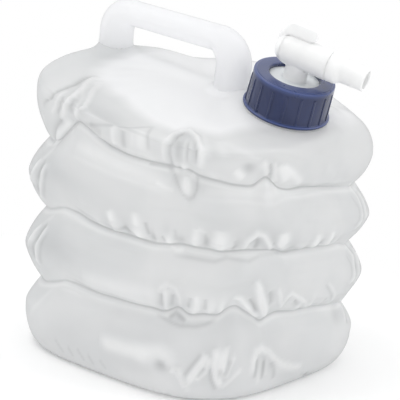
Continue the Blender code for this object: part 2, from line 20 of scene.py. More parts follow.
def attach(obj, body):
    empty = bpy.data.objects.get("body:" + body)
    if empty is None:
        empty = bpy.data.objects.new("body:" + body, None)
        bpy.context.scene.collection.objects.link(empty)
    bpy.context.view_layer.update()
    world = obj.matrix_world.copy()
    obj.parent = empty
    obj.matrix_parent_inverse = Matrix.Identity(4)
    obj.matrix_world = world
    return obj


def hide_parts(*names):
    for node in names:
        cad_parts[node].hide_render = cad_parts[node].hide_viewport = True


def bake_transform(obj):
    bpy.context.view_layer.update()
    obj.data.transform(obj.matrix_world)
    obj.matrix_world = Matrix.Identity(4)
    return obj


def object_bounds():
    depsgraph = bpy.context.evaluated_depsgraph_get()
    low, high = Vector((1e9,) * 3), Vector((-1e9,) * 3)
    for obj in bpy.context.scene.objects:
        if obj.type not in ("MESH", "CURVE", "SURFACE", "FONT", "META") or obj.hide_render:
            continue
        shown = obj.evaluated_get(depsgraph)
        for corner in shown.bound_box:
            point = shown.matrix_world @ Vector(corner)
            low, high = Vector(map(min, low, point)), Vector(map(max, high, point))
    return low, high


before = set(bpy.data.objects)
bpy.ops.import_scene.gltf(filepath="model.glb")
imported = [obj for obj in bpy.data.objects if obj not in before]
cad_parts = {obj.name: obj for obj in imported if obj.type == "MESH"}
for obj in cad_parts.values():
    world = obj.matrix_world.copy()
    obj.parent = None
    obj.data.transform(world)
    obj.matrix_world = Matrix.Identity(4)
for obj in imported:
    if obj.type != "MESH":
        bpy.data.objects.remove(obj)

bl_info = {
    "name": "Collapsible Water Carrier",
    "version": (1, 0, 0),
    "blender": (4, 5, 0),
    "location": "3D View > Sidebar > Water Carrier",
    "description": "Builds a collapsible water carrier with a handle, a screw ring and a tap",
    "category": "Add Mesh",
}

CAD_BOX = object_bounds()
MM = 0.001
BLACK = (0.0, 0.0, 0.0)
WHITE = (1.0, 1.0, 1.0)
THICK_FILM_EXTRA_GLOW = 0.2

# Bag section, pleats and top panel, as in the model
CREST_HALF_WIDTH = 0.1135
PLEAT_DEPTH = 0.0113
SECTION_EXPONENT = 3.4
LOWEST_CREST_HEIGHT = 0.030
PLEAT_PITCH = 0.050
PLEAT_COUNT = 3
BASE_CORNER_WIDTH = 0.0132
CREST_SHARES = (0.980, 1.005, 1.012, 1.000)
VALLEY_SHARES = (0.982, 0.990, 0.992)
BEND_RADIUS_X = 2.70
BEND_RADIUS_Y = 1.83
BELLOWS_TOP = LOWEST_CREST_HEIGHT + PLEAT_COUNT * PLEAT_PITCH
DECK_RISE = 0.031
DECK_HEIGHT = BELLOWS_TOP + DECK_RISE
DECK_TILT_X = math.radians(7.0)
DECK_TILT_Y = math.radians(-7.4)
SHOULDER_EXPONENT = 4.5
REAR_SHOULDER_EXPONENT = 11.0
AWAY_SHOULDER_EXPONENT = 2.3
AWAY_CORNER_SHARE = 1.5
FLAT_BASE_HALF_WIDTH = CREST_HALF_WIDTH * CREST_SHARES[0] - BASE_CORNER_WIDTH
TOP_CREST_DROP = 0.005

# Handle, in the top panel's frame
HANDLE_REAR_X = -0.0985
HANDLE_FRONT_X = 0.0205
HANDLE_REAR_HEIGHT = 0.0330
HANDLE_FRONT_HEIGHT = 0.0370
HANDLE_CORNER_RADIUS = 0.018
HANDLE_GRIP_RADIUS = 0.0100
HANDLE_LEG_RADIUS = 0.0135
HANDLE_FOOT_DEPTH = 0.006
HANDLE_FOOT_WIDENING = 0.0016
HANDLE_FOOT_SINK = 0.001
HANDLE_FOOT_HEIGHT = 0.010
HANDLE_SEAM_SHARE = 0.035
HANDLE_SEAM_SHARPNESS = 160.0

# How the top panel is raised to the ring's collar, to the handle's feet and along its mould line
SEAT_START_RISE = 0.012
SEAT_INNER_RADIUS = 0.033
SEAT_OUTER_RADIUS = 0.052
FOOT_FILLET_HEIGHT = 0.0038
MOULD_LINE_HEIGHT = 0.0016
MOULD_LINE_HALF_WIDTH = 0.010
MOULD_LINE_START_X = -0.07
MOULD_LINE_END_X = -0.01

# Neck and ring, along the neck's own axis
NECK_X = 0.072
NECK_TILT = math.radians(9.1)
NECK_RADIUS = 0.0256
NECK_BORE_RADIUS = 0.0232
NECK_RIM = 0.0219
RING_SEAT = 0.0016
RING_TOP = 0.0300
RING_SKIRT_RADIUS = 0.0310
RING_BEAD_RADIUS = 0.0325
RING_BORE_RADIUS = 0.0270
RING_HOLE_RADIUS = 0.0192
RING_PLATE = 0.0030
RING_TOP_INSET = 0.0007
RING_STEP_DEPTH = 0.0005
RING_EDGE_DEPTH = 0.0040
NECK_FOOT = -0.0120
NECK_FOOT_RADIUS = 0.0345
NECK_HOLE_DEPTH = 0.02
THREAD_LEAD = 0.006
NECK_THREAD_TURNS = 2.4
NECK_THREAD_FOOT = 0.0045
RING_THREAD_TURNS = 2.0
RING_THREAD_FOOT = 0.0072

# Tap; its stem is wider than the model's, as the photograph shows it
TAP_SWIVEL_REST = math.radians(14.2)
FLANGE_BOTTOM = 0.0243
FLANGE_TOP = 0.0267
FLANGE_RADIUS = 0.0245
STEM_RADIUS = 0.0087
STEM_FOOT_RADIUS = 0.0091
STEM_BORE_RADIUS = 0.0054
BARREL_HEIGHT = 0.0471
BARREL_RADIUS = 0.0113
BARREL_REAR = 0.0140
BARREL_TAPER = 0.0070
BARREL_FRONT = 0.0235
BARREL_END = 0.0200
CORE_RADIUS = 0.0088
CORE_BORE_RADIUS = 0.0064
SPOUT_COLLAR_RADIUS = 0.0112
SPOUT_RADIUS = 0.0086
SPOUT_COLLAR_LENGTH = 0.0074
SPOUT_START = 0.0113
SPOUT_LENGTH = 0.0290
CORE_BORE_END = 0.0080
LEVER_HALF_THICKNESS = 0.0021
SEAM_GAP = 0.0003
SEAM_LAP = 0.0003
CUT_OVERRUN = 0.004

# Outline of the lever: (distance from the barrel's axis, place along it)
LEVER_OUTLINE = (
    (0.0010, 0.0192), (0.0050, 0.0200), (0.0100, 0.0194), (0.0197, 0.0134), (0.0213, 0.0098),
    (0.0213, -0.0077), (0.0197, -0.0093), (0.0136, -0.0093), (0.0106, -0.0047), (0.0106, 0.0132),
    (0.0010, 0.0132),
)

# Washer, ribs and threads, along the neck's own axis
WASHER_INNER_RADIUS = 0.0215
WASHER_BOTTOM = 0.0222
WASHER_TOP = 0.0240
RIB_LENGTH = 0.0205
RIB_FOOT = 0.0043
RIB_SINK = 0.0003
RIB_LEAN = -0.026
RIB_FLATNESS = 0.36
THREAD_DEPTH = 0.0008
THREAD_HALF_WIDTH = 0.0009

# Stage: a lamp is (name, place, width), and the camera's axes point right, up and back
FLOOR_HALF_WIDTH = 14.0
FLOOR_GAP = 0.0002
LAMP_TARGET = Vector((0.0, 0.0, 0.12))
LAMPS = (("key", (-0.40, -0.50, 1.35), 0.8), ("side", (0.95, 0.55, 1.05), 0.7))
CAMERA_PLACE = (0.71531, -0.92241, 0.39793)
CAMERA_AXES = (
    Vector((0.77450, 0.62658, 0.08687)),
    Vector((-0.21214, 0.12790, 0.96883)),
    Vector((0.59594, -0.76879, 0.23198)),
)


# Frames of the fittings

def deck_matrix():
    """Frame of the top panel: X runs along the handle, Z is square to the panel."""
    z_axis = Vector((math.tan(DECK_TILT_X), math.tan(DECK_TILT_Y), 1.0)).normalized()
    x_axis = Vector((1.0, 0.0, -math.tan(DECK_TILT_X))).normalized()
    matrix = Matrix((x_axis, z_axis.cross(x_axis), z_axis)).transposed().to_4x4()
    matrix.translation = (0.0, 0.0, DECK_HEIGHT)
    return matrix


DECK = deck_matrix()
NECK = DECK @ Matrix.Translation((NECK_X, 0.0, 0.0)) @ Matrix.Rotation(NECK_TILT, 4, "Y")
TAP = NECK @ Matrix.Rotation(TAP_SWIVEL_REST, 4, "Z")
# Lays an upright turning along the barrel, in the tap's frame; its top is the barrel's closed end
TO_TAP = Matrix.Translation((0.0, 0.0, BARREL_HEIGHT)) @ Matrix.Rotation(-math.pi / 2, 4, "Y")


# Node trees and shader graphs

class Nodes:
    """A node tree, and short ways to add nodes to it."""

    def __init__(self, tree):
        self.tree = tree

    def node(self, kind, settings=None, values=None):
        """Make a node. A value that is a socket or an amount is linked, any other is set."""
        node = self.tree.nodes.new(kind)
        for setting, value in (settings or {}).items():
            setattr(node, setting, value)
        for socket, value in (values or {}).items():
            value = getattr(value, "socket", value)
            if isinstance(value, bpy.types.NodeSocket):
                self.tree.links.new(value, node.inputs[socket])
            else:
                node.inputs[socket].default_value = value
        return node

    def step(self, kind, **values):
        """Make a node from values named after its inputs, and return its first output."""
        named = {}
        for name, value in values.items():
            named[name.replace("_", " ").title().replace("Ior", "IOR")] = value
        return self.node(kind, None, named).outputs[0]

    def math(self, operation, first, second):
        return self.node("ShaderNodeMath", {"operation": operation}, {0: first, 1: second}).outputs[0]


class Amount:
    """A number that varies over a surface; arithmetic on it adds Math nodes."""

    def __init__(self, graph, socket):
        self.graph = graph
        self.socket = socket

    def math(self, operation, first, second):
        return Amount(self.graph, self.graph.math(operation, first, second))

    def __add__(self, other):
        return self.math("ADD", self, other)

    def __sub__(self, other):
        return self.math("SUBTRACT", self, other)

    def __rsub__(self, other):
        return self.math("SUBTRACT", other, self)

    def __mul__(self, other):
        return self.math("MULTIPLY", self, other)

    def __pow__(self, other):
        return self.math("POWER", self, other)

    __radd__ = __add__
    __rmul__ = __mul__

    def ramp(self, low, high):
        """0 below the low value and 1 above the high one, smooth between."""
        node = self.graph.node(
            "ShaderNodeMapRange", {"interpolation_type": "SMOOTHSTEP"},
            {"Value": self, "From Min": low, "From Max": high},
        )
        return Amount(self.graph, node.outputs[0])


class Graph(Nodes):
    """A material's nodes."""

    def __init__(self, name):
        self.material = bpy.data.materials.new(name)
        self.material.use_nodes = True
        super().__init__(self.material.node_tree)
        self.tree.nodes.clear()
        self.place = self.node("ShaderNodeTexCoord").outputs["Object"]

    def noise(self, scale, detail=2.0, roughness=0.5, stretch=None):
        place = self.place
        if stretch:
            place = self.step("ShaderNodeMapping", vector=place, scale=stretch)
        values = {"vector": place, "scale": scale, "detail": detail, "roughness": roughness}
        return Amount(self, self.step("ShaderNodeTexNoise", **values))

    def attribute(self, name):
        return Amount(self, self.node("ShaderNodeAttribute", {"attribute_name": name}).outputs["Fac"])

    def mix(self, factor, first, second):
        """A colour between two, by the node's own sockets for colours."""
        values = {0: factor, 6: first, 7: second}
        return self.node("ShaderNodeMix", {"data_type": "RGBA"}, values).outputs[2]

    def bump(self, height, distance, strength):
        return self.step("ShaderNodeBump", height=height, distance=distance, strength=strength)

    def blend(self, factor, first, second):
        return self.node("ShaderNodeMixShader", None, {0: factor, 1: first, 2: second}).outputs[0]

    def finish(self, surface):
        self.node("ShaderNodeOutputMaterial", None, {"Surface": surface})
        return self.material


def opaque(colour):
    return (*colour, 1.0)


def shaded(colour, factor):
    return tuple(min(channel * factor, 1.0) for channel in colour) + (1.0,)


def film_material(name, form, folded=False):
    """Frosted polyethylene: milky where it is thick, greyer and see-through where it is thin, with painted
    highlights, painted shade and painted valley light on the folds.
    """
    graph = Graph(name)
    drift = graph.noise(16.0, detail=3.0, roughness=0.55).ramp(0.40, 0.66)
    cloud = graph.noise(60.0, detail=4.0, roughness=0.6)
    grain = graph.noise(1400.0)
    # Unfolded film, the handle's and the neck's, takes the thick film's colour a little darker: painted shade
    # against the lamps' light on it
    base = shaded(form.milk_colour, 1.0 if folded else form.handle_shade_tone)
    bump = graph.bump(cloud * 0.25 + grain * 0.12, distance=0.0006, strength=0.35)
    if folded:
        milk = graph.attribute("milk")
        thin = graph.mix(drift, opaque(form.thin_colour), opaque(form.cool_colour))
        # Painted shade where the shade patches lie
        thin = graph.mix(graph.attribute("shade"), thin, opaque(form.shade_colour))
        base = graph.mix(milk, thin, base)
        # Painted highlights: the light tints of ridges, streaks and the shelves under the creases
        base = graph.mix(graph.attribute("light") * 0.92, base, opaque(form.painted_highlight_colour))
        # Painted shade: the dark tints in creases and along dark streaks
        base = graph.mix(graph.attribute("dark") * 0.70, base, opaque(form.crease_shade_and_edge_colour))
    facing = Amount(graph, graph.node("ShaderNodeLayerWeight", None, {"Blend": 0.35}).outputs["Facing"])
    base = graph.mix((facing ** 4.0) * form.edge_darkness, base, opaque(form.crease_shade_and_edge_colour))
    extra = {}
    if folded:
        # Painted light: a glow in the valleys that lightens their shade
        painted_valley_glow = graph.mix(graph.attribute("valley"), opaque(BLACK), shaded(WHITE, form.painted_valley_light))
        extra = {"emission_color": painted_valley_glow, "emission_strength": 1.0}
    plastic = graph.step(
        "ShaderNodeBsdfPrincipled", base_color=base, roughness=0.26 + cloud * 0.16,
        normal=bump, specular_ior_level=0.6, **extra,
    )
    glow = graph.step("ShaderNodeBsdfTranslucent", color=base)
    body = graph.blend(form.glow if folded else form.glow + THICK_FILM_EXTRA_GLOW, plastic, glow)
    if not folded:
        return graph.finish(body)
    clear = graph.step("ShaderNodeBsdfTransparent", color=(0.96, 0.98, 0.98, 1.0))
    return graph.finish(graph.blend((1.0 - milk) * form.clearness, body, clear))


def navy_material(form):
    """Moulded navy plastic with a soft gloss and faint flow marks."""
    graph = Graph("navy_plastic")
    flow = graph.noise(90.0, detail=3.0, roughness=0.6, stretch=(1.0, 1.0, 0.35))
    grain = graph.noise(1800.0)
    base = graph.mix(flow.ramp(0.35, 0.7), opaque(form.ring_colour), shaded(form.ring_colour, 1.22))
    # Painted highlights on the ring's top edge, lip and top
    base = graph.mix(graph.attribute("edge"), base, opaque(form.ring_highlight_colour))
    bump = graph.bump(grain * 0.4 + flow * 0.5, distance=0.0003, strength=0.25)
    plastic = graph.step(
        "ShaderNodeBsdfPrincipled", base_color=base, roughness=0.22 + flow * 0.14, normal=bump,
        coat_weight=0.3, coat_roughness=0.08,
    )
    return graph.finish(plastic)


def white_material(name, form, colour, roughness):
    """Moulded white plastic that lets a little light in."""
    graph = Graph(name)
    flow = graph.noise(70.0, detail=3.0, roughness=0.6)
    grain = graph.noise(1600.0)
    base = graph.mix(flow.ramp(0.35, 0.7), opaque(colour), shaded(colour, 0.965))
    # Painted shade on the flange, low in the ring's hole
    base = graph.mix(graph.attribute("flange"), base, opaque(form.flange_shade_colour))
    bump = graph.bump(grain * 0.5 + flow * 0.3, distance=0.0003, strength=0.22)
    plastic = graph.step(
        "ShaderNodeBsdfPrincipled", base_color=base, roughness=roughness + flow * 0.12, normal=bump,
        subsurface_weight=form.tap_depth, subsurface_radius=(0.006, 0.006, 0.006), subsurface_scale=1.0,
    )
    return graph.finish(plastic)


# Meshes

def add_piece(name, mesh, material, body, slot, *nodes):
    """Put a finished mesh in the scene, riding on its body and standing for its nodes."""
    piece = loose_object(mesh)
    piece.name = name
    mesh.materials.clear()
    mesh.materials.append(material)
    if body:
        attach(piece, body)
    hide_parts(*nodes)
    return piece


def fillet(profile, radius, steps=5):
    """Round the marked corners of a profile; a corner is (r, z, share of the radius)."""
    rounded = []
    count = len(profile)
    for index, (r, z, share) in enumerate(profile):
        here = Vector((r, z))
        if not share or index in (0, count - 1):
            rounded.append((r, z))
            continue
        before = Vector(profile[index - 1][:2]) - here
        after = Vector(profile[index + 1][:2]) - here
        reach = min(radius * share, before.length * 0.48, after.length * 0.48)
        start = here + before.normalized() * reach
        end = here + after.normalized() * reach
        for step in range(steps + 1):
            place = step / steps
            point = start * (1 - place) ** 2 + here * 2 * place * (1 - place) + end * place ** 2
            rounded.append((point.x, point.y))
    return rounded


def turned(profile, steps, matrix=None):
    """Mesh of (r, z) points turned about Z: a closed ring, or a solid with both ends on the axis."""
    shape = bmesh.new()
    rows = []
    for r, z in profile:
        if r < 1e-7:
            rows.append([shape.verts.new((0.0, 0.0, z))] * steps)
            continue
        angles = (2.0 * math.pi * step / steps for step in range(steps))
        rows.append([shape.verts.new((r * math.cos(angle), r * math.sin(angle), z)) for angle in angles])
    pairs = list(zip(rows, rows[1:]))
    if profile[0][0] > 1e-7:
        pairs.append((rows[-1], rows[0]))
    for lower, upper in pairs:
        for step in range(steps):
            following = (step + 1) % steps
            corners = dict.fromkeys((lower[step], lower[following], upper[following], upper[step]))
            if len(corners) > 2:
                shape.faces.new(list(corners))
    bmesh.ops.recalc_face_normals(shape, faces=shape.faces)
    mesh = mesh_of(shape, "turned", matrix)
    mesh.shade_smooth()
    return mesh


def loose_object(data):
    part = bpy.data.objects.new(data.name, data)
    bpy.context.scene.collection.objects.link(part)
    return part


def mesh_of(shape, name, matrix=None):
    """Mesh of a bmesh, moved by the matrix; the bmesh is freed."""
    if matrix:
        shape.transform(matrix)
    mesh = bpy.data.meshes.new(name)
    shape.to_mesh(mesh)
    shape.free()
    return mesh


def paint(mesh, name, values):
    """Give each point a value from 0 to 1 under a name that the material reads."""
    mesh.attributes.new(name, "FLOAT", "POINT").data.foreach_set("value", values.astype(np.float32))


def evaluated_mesh(part, name):
    """The object's mesh with its modifiers applied; the object itself is removed."""
    bpy.context.view_layer.update()
    mesh = bpy.data.meshes.new_from_object(part.evaluated_get(bpy.context.evaluated_depsgraph_get()))
    mesh.name = name
    bpy.data.objects.remove(part, do_unlink=True)
    return mesh


def combined(name, mesh, joined, cut, voxel):
    """Unite and cut solids, then rebuild the surface in fine steps that soften its edges."""
    part = loose_object(mesh)
    helpers = []
    for operation, meshes in (("UNION", joined), ("DIFFERENCE", cut)):
        for other in meshes:
            helper = loose_object(other)
            boolean = part.modifiers.new(operation, "BOOLEAN")
            boolean.operation = operation
            boolean.object = helper
            helpers.append(helper)
    remesh = part.modifiers.new("Remesh", "REMESH")
    remesh.mode = "VOXEL"
    remesh.voxel_size = voxel
    remesh.use_smooth_shade = True
    soften = part.modifiers.new("Soften", "SMOOTH")
    soften.factor = 0.5
    soften.iterations = 4
    result = evaluated_mesh(part, name)
    for helper in helpers:
        bpy.data.objects.remove(helper, do_unlink=True)
    return result


# Geometry node trees

class Shaping(Nodes):
    """A geometry node tree with named inputs."""

    def __init__(self, name, **inputs):
        super().__init__(bpy.data.node_groups.new(name, "GeometryNodeTree"))
        self.tree.interface.new_socket("Geometry", in_out="INPUT", socket_type="NodeSocketGeometry")
        self.sizes = {}
        for label, value in inputs.items():
            kinds = {int: "NodeSocketInt", float: "NodeSocketFloat", bpy.types.Material: "NodeSocketMaterial"}
            title = label.replace("_", " ").capitalize()
            socket = self.tree.interface.new_socket(title, in_out="INPUT", socket_type=kinds[type(value)])
            self.sizes[socket.identifier] = value
        self.tree.interface.new_socket("Geometry", in_out="OUTPUT", socket_type="NodeSocketGeometry")
        self.inputs = self.node("NodeGroupInput").outputs

    def raised(self, geometry, height):
        lift = self.step("ShaderNodeCombineXYZ", z=height)
        return self.step("GeometryNodeTransform", geometry=geometry, translation=lift)

    def added(self, geometry):
        """The geometry, joined to what the tree is given."""
        node = self.node("GeometryNodeJoinGeometry", None, {0: geometry})
        self.tree.links.new(self.inputs["Geometry"], node.inputs[0])
        return node.outputs[0]

    def finish(self, geometry):
        real = self.step("GeometryNodeRealizeInstances", geometry=geometry)
        painted = self.step("GeometryNodeSetMaterial", geometry=real, material=self.inputs["Material"])
        self.node("NodeGroupOutput", None, {0: painted})

    def apply(self, part, name):
        """Run the tree on an object and return the plain mesh."""
        modifier = part.modifiers.new(name, "NODES")
        modifier.node_group = self.tree
        for identifier, value in self.sizes.items():
            modifier[identifier] = value
        return evaluated_mesh(part, name)


def ribs_tree(material, form):
    """Upright ribs round the ring's skirt, one copied round."""
    shaping = Shaping(
        "ring_ribs", count=form.rib_count, radius=RING_SKIRT_RADIUS - RIB_SINK, width=form.rib_width,
        length=RIB_LENGTH, foot=RIB_FOOT, material=material,
    )
    inputs = shaping.inputs
    circle = shaping.step("GeometryNodeMeshCircle", vertices=inputs["Count"], radius=inputs["Radius"])
    bar = shaping.step(
        "GeometryNodeMeshCylinder", vertices=12, side_segments=8, radius=inputs["Width"],
        depth=inputs["Length"],
    )
    leaning = shaping.step(
        "GeometryNodeTransform", geometry=bar, rotation=(0.0, RIB_LEAN, 0.0), scale=(RIB_FLATNESS, 1.0, 1.0),
    )
    apart = shaping.math("DIVIDE", 2.0 * math.pi, inputs["Count"])
    turn = shaping.math("MULTIPLY", shaping.step("GeometryNodeInputIndex"), apart)
    angles = shaping.step("ShaderNodeCombineXYZ", z=turn)
    placed = shaping.step("GeometryNodeInstanceOnPoints", points=circle, instance=leaning, rotation=angles)
    height = shaping.math("ADD", inputs["Foot"], shaping.math("MULTIPLY", inputs["Length"], 0.5))
    smooth = shaping.step("GeometryNodeSetShadeSmooth", geometry=shaping.raised(placed, height))
    shaping.finish(shaping.added(smooth))
    return shaping


def thread_tree(name, material, radius, turns, foot):
    """A screw thread that follows a helix, joined to the wall that carries it."""
    shaping = Shaping(
        name, radius=radius, turns=turns, lead=THREAD_LEAD, foot=foot, depth=THREAD_DEPTH,
        width=THREAD_HALF_WIDTH, material=material,
    )
    inputs = shaping.inputs
    helix = shaping.step(
        "GeometryNodeCurveSpiral", resolution=64, rotations=inputs["Turns"], start_radius=inputs["Radius"],
        end_radius=inputs["Radius"], height=shaping.math("MULTIPLY", inputs["Turns"], inputs["Lead"]),
    )
    section = shaping.step("GeometryNodeCurvePrimitiveCircle", resolution=8, radius=1.0)
    half = shaping.step("ShaderNodeCombineXYZ", x=inputs["Depth"], y=inputs["Width"], z=1.0)
    sized = shaping.step("GeometryNodeTransform", geometry=section, scale=half)
    rail = shaping.step("GeometryNodeCurveToMesh", curve=helix, profile_curve=sized, fill_caps=True)
    shaping.finish(shaping.added(shaping.raised(rail, inputs["Foot"])))
    return shaping


def sweep_tree(material):
    """The handle's tube, swept along its route with the route's own radii."""
    shaping = Shaping("handle_sweep", seam_height=HANDLE_SEAM_SHARE, sides=56, material=material)
    inputs = shaping.inputs
    ring = shaping.step("GeometryNodeCurvePrimitiveCircle", resolution=inputs["Sides"], radius=1.0)
    spot = shaping.step("GeometryNodeInputPosition")
    across = shaping.node("ShaderNodeSeparateXYZ", None, {0: spot}).outputs[0]
    beside = shaping.math("POWER", shaping.math("ABSOLUTE", across, 0.0), 2.0)
    narrow = shaping.math("POWER", 2.718, shaping.math("MULTIPLY", beside, -HANDLE_SEAM_SHARPNESS))
    swell = shaping.math("ADD", shaping.math("MULTIPLY", narrow, inputs["Seam height"]), 1.0)
    values = {0: spot, "Scale": swell}
    scaled = shaping.node("ShaderNodeVectorMath", {"operation": "SCALE"}, values).outputs[0]
    seamed = shaping.step("GeometryNodeSetPosition", geometry=ring, position=scaled)
    tube = shaping.step(
        "GeometryNodeCurveToMesh", curve=inputs["Geometry"], profile_curve=seamed,
        scale=shaping.step("GeometryNodeInputRadius"), fill_caps=True,
    )
    shaping.finish(shaping.step("GeometryNodeSetShadeSmooth", geometry=tube))
    return shaping


# The bag's surface

# Distances round the bag are measured from the corner between its -Y and +X sides, and
# heights up the film from the floor; both are in millimetres in the tables of folds.
# The slumped film lifts its valleys unevenly, lowest valley first: (share of the distance round,
# rise as a share of the pitch). They follow the photograph, up to about 7 mm from the model's.
VALLEY_RISE_SHARES = (
    (
        (-0.340, 0.0), (-0.295, -0.08), (-0.256, -0.17), (-0.225, -0.12), (-0.200, -0.02),
        (-0.180, 0.08), (-0.165, 0.085),
        (-0.130, 0.07), (-0.096, 0.095), (-0.060, 0.12), (-0.049, 0.10), (-0.040, 0.16), (-0.032, 0.25),
        (-0.023, 0.13), (-0.006, 0.18), (0.008, 0.17), (0.018, 0.30), (0.027, 0.33), (0.038, 0.23),
        (0.049, 0.16), (0.059, 0.05), (0.069, 0.14), (0.081, 0.18), (0.106, 0.145), (0.136, 0.135),
        (0.170, 0.085), (0.205, 0.0), (0.270, -0.04), (0.310, 0.06), (0.360, -0.04), (0.410, 0.05),
        (0.460, -0.03), (0.510, 0.06), (0.560, -0.05), (0.610, 0.03),
    ),
    (
        (-0.340, 0.0), (-0.295, -0.06), (-0.256, -0.12), (-0.220, -0.04), (-0.200, 0.05),
        (-0.185, 0.10), (-0.165, 0.09),
        (-0.147, 0.04), (-0.126, 0.02), (-0.094, 0.04), (-0.064, 0.03), (-0.045, 0.08), (-0.036, 0.12),
        (-0.022, 0.115), (-0.004, 0.12), (0.003, 0.10), (0.019, 0.135), (0.030, 0.155), (0.050, 0.155),
        (0.069, 0.155), (0.080, 0.10), (0.126, 0.13), (0.151, 0.11), (0.182, 0.10), (0.205, 0.02),
        (0.260, 0.04), (0.320, -0.05), (0.380, 0.05), (0.430, -0.03), (0.490, 0.04), (0.550, -0.04),
        (0.600, 0.06),
    ),
    (
        (-0.295, -0.02), (-0.256, -0.10), (-0.228, -0.10), (-0.205, 0.0), (-0.190, 0.17), (-0.176, 0.36),
        (-0.1615, 0.32), (-0.145, 0.24), (-0.130, 0.165), (-0.105, 0.125), (-0.080, 0.13), (-0.055, 0.145),
        (-0.035, 0.17), (-0.024, 0.11), (-0.003, 0.09), (0.010, 0.07), (0.031, 0.07), (0.038, 0.13),
        (0.044, 0.23), (0.050, 0.23), (0.057, 0.14), (0.064, 0.07), (0.078, 0.045), (0.100, 0.085),
        (0.137, 0.07), (0.180, 0.04), (0.212, 0.0), (0.280, 0.05), (0.330, -0.03), (0.400, 0.06),
        (0.450, 0.0), (0.520, 0.05), (0.580, -0.04), (0.640, 0.03),
    ),
)
CREST_FOLLOW_SHARE = 0.4

# Puckers above each crease, lowest first: (distance round, half width, length, rise)
PUCKERS = (
    (
        (-60, 6, 12, 0.5), (-48, 5, 13, 0.6), (-13, 2.8, 13, 1.1), (-1, 3.0, 15, 1.0), (7, 2.4, 15, 1.0),
        (82, 3.4, 12, 0.9), (99, 2.6, 16, 0.8), (117, 4.5, 12, 0.7), (135, 5, 12, 0.7),
    ),
    (
        (-104, 5, 11, 0.6), (-86, 4.6, 13, 1.9), (-75, 2.6, 11, -1.2), (-64, 5.0, 16, 2.0),
        (-52, 2.6, 12, -1.2), (-38, 3.8, 14, 1.7), (-28, 3.0, 11, -0.8), (-17, 3.4, 16, 1.5),
        (-8, 2.4, 13, -0.9), (2, 6.5, 19, 2.2), (14, 2.4, 13, -0.9), (33, 2.8, 13, -0.9),
        (56, 5.8, 18, 2.2), (70, 3.8, 13, -0.8), (82, 3.2, 10, 0.8),
        (96, 5.0, 15, 1.9), (105, 2.4, 10, -0.7), (113, 3.4, 16, 1.6), (127, 4, 10, 0.8),
    ),
    (
        (-109, 4.5, 9, 0.5), (-60, 4, 10, 0.4), (-8, 4, 8, 0.4), (90, 9, 12, 0.4), (118, 7, 12, 0.4),
    ),
)
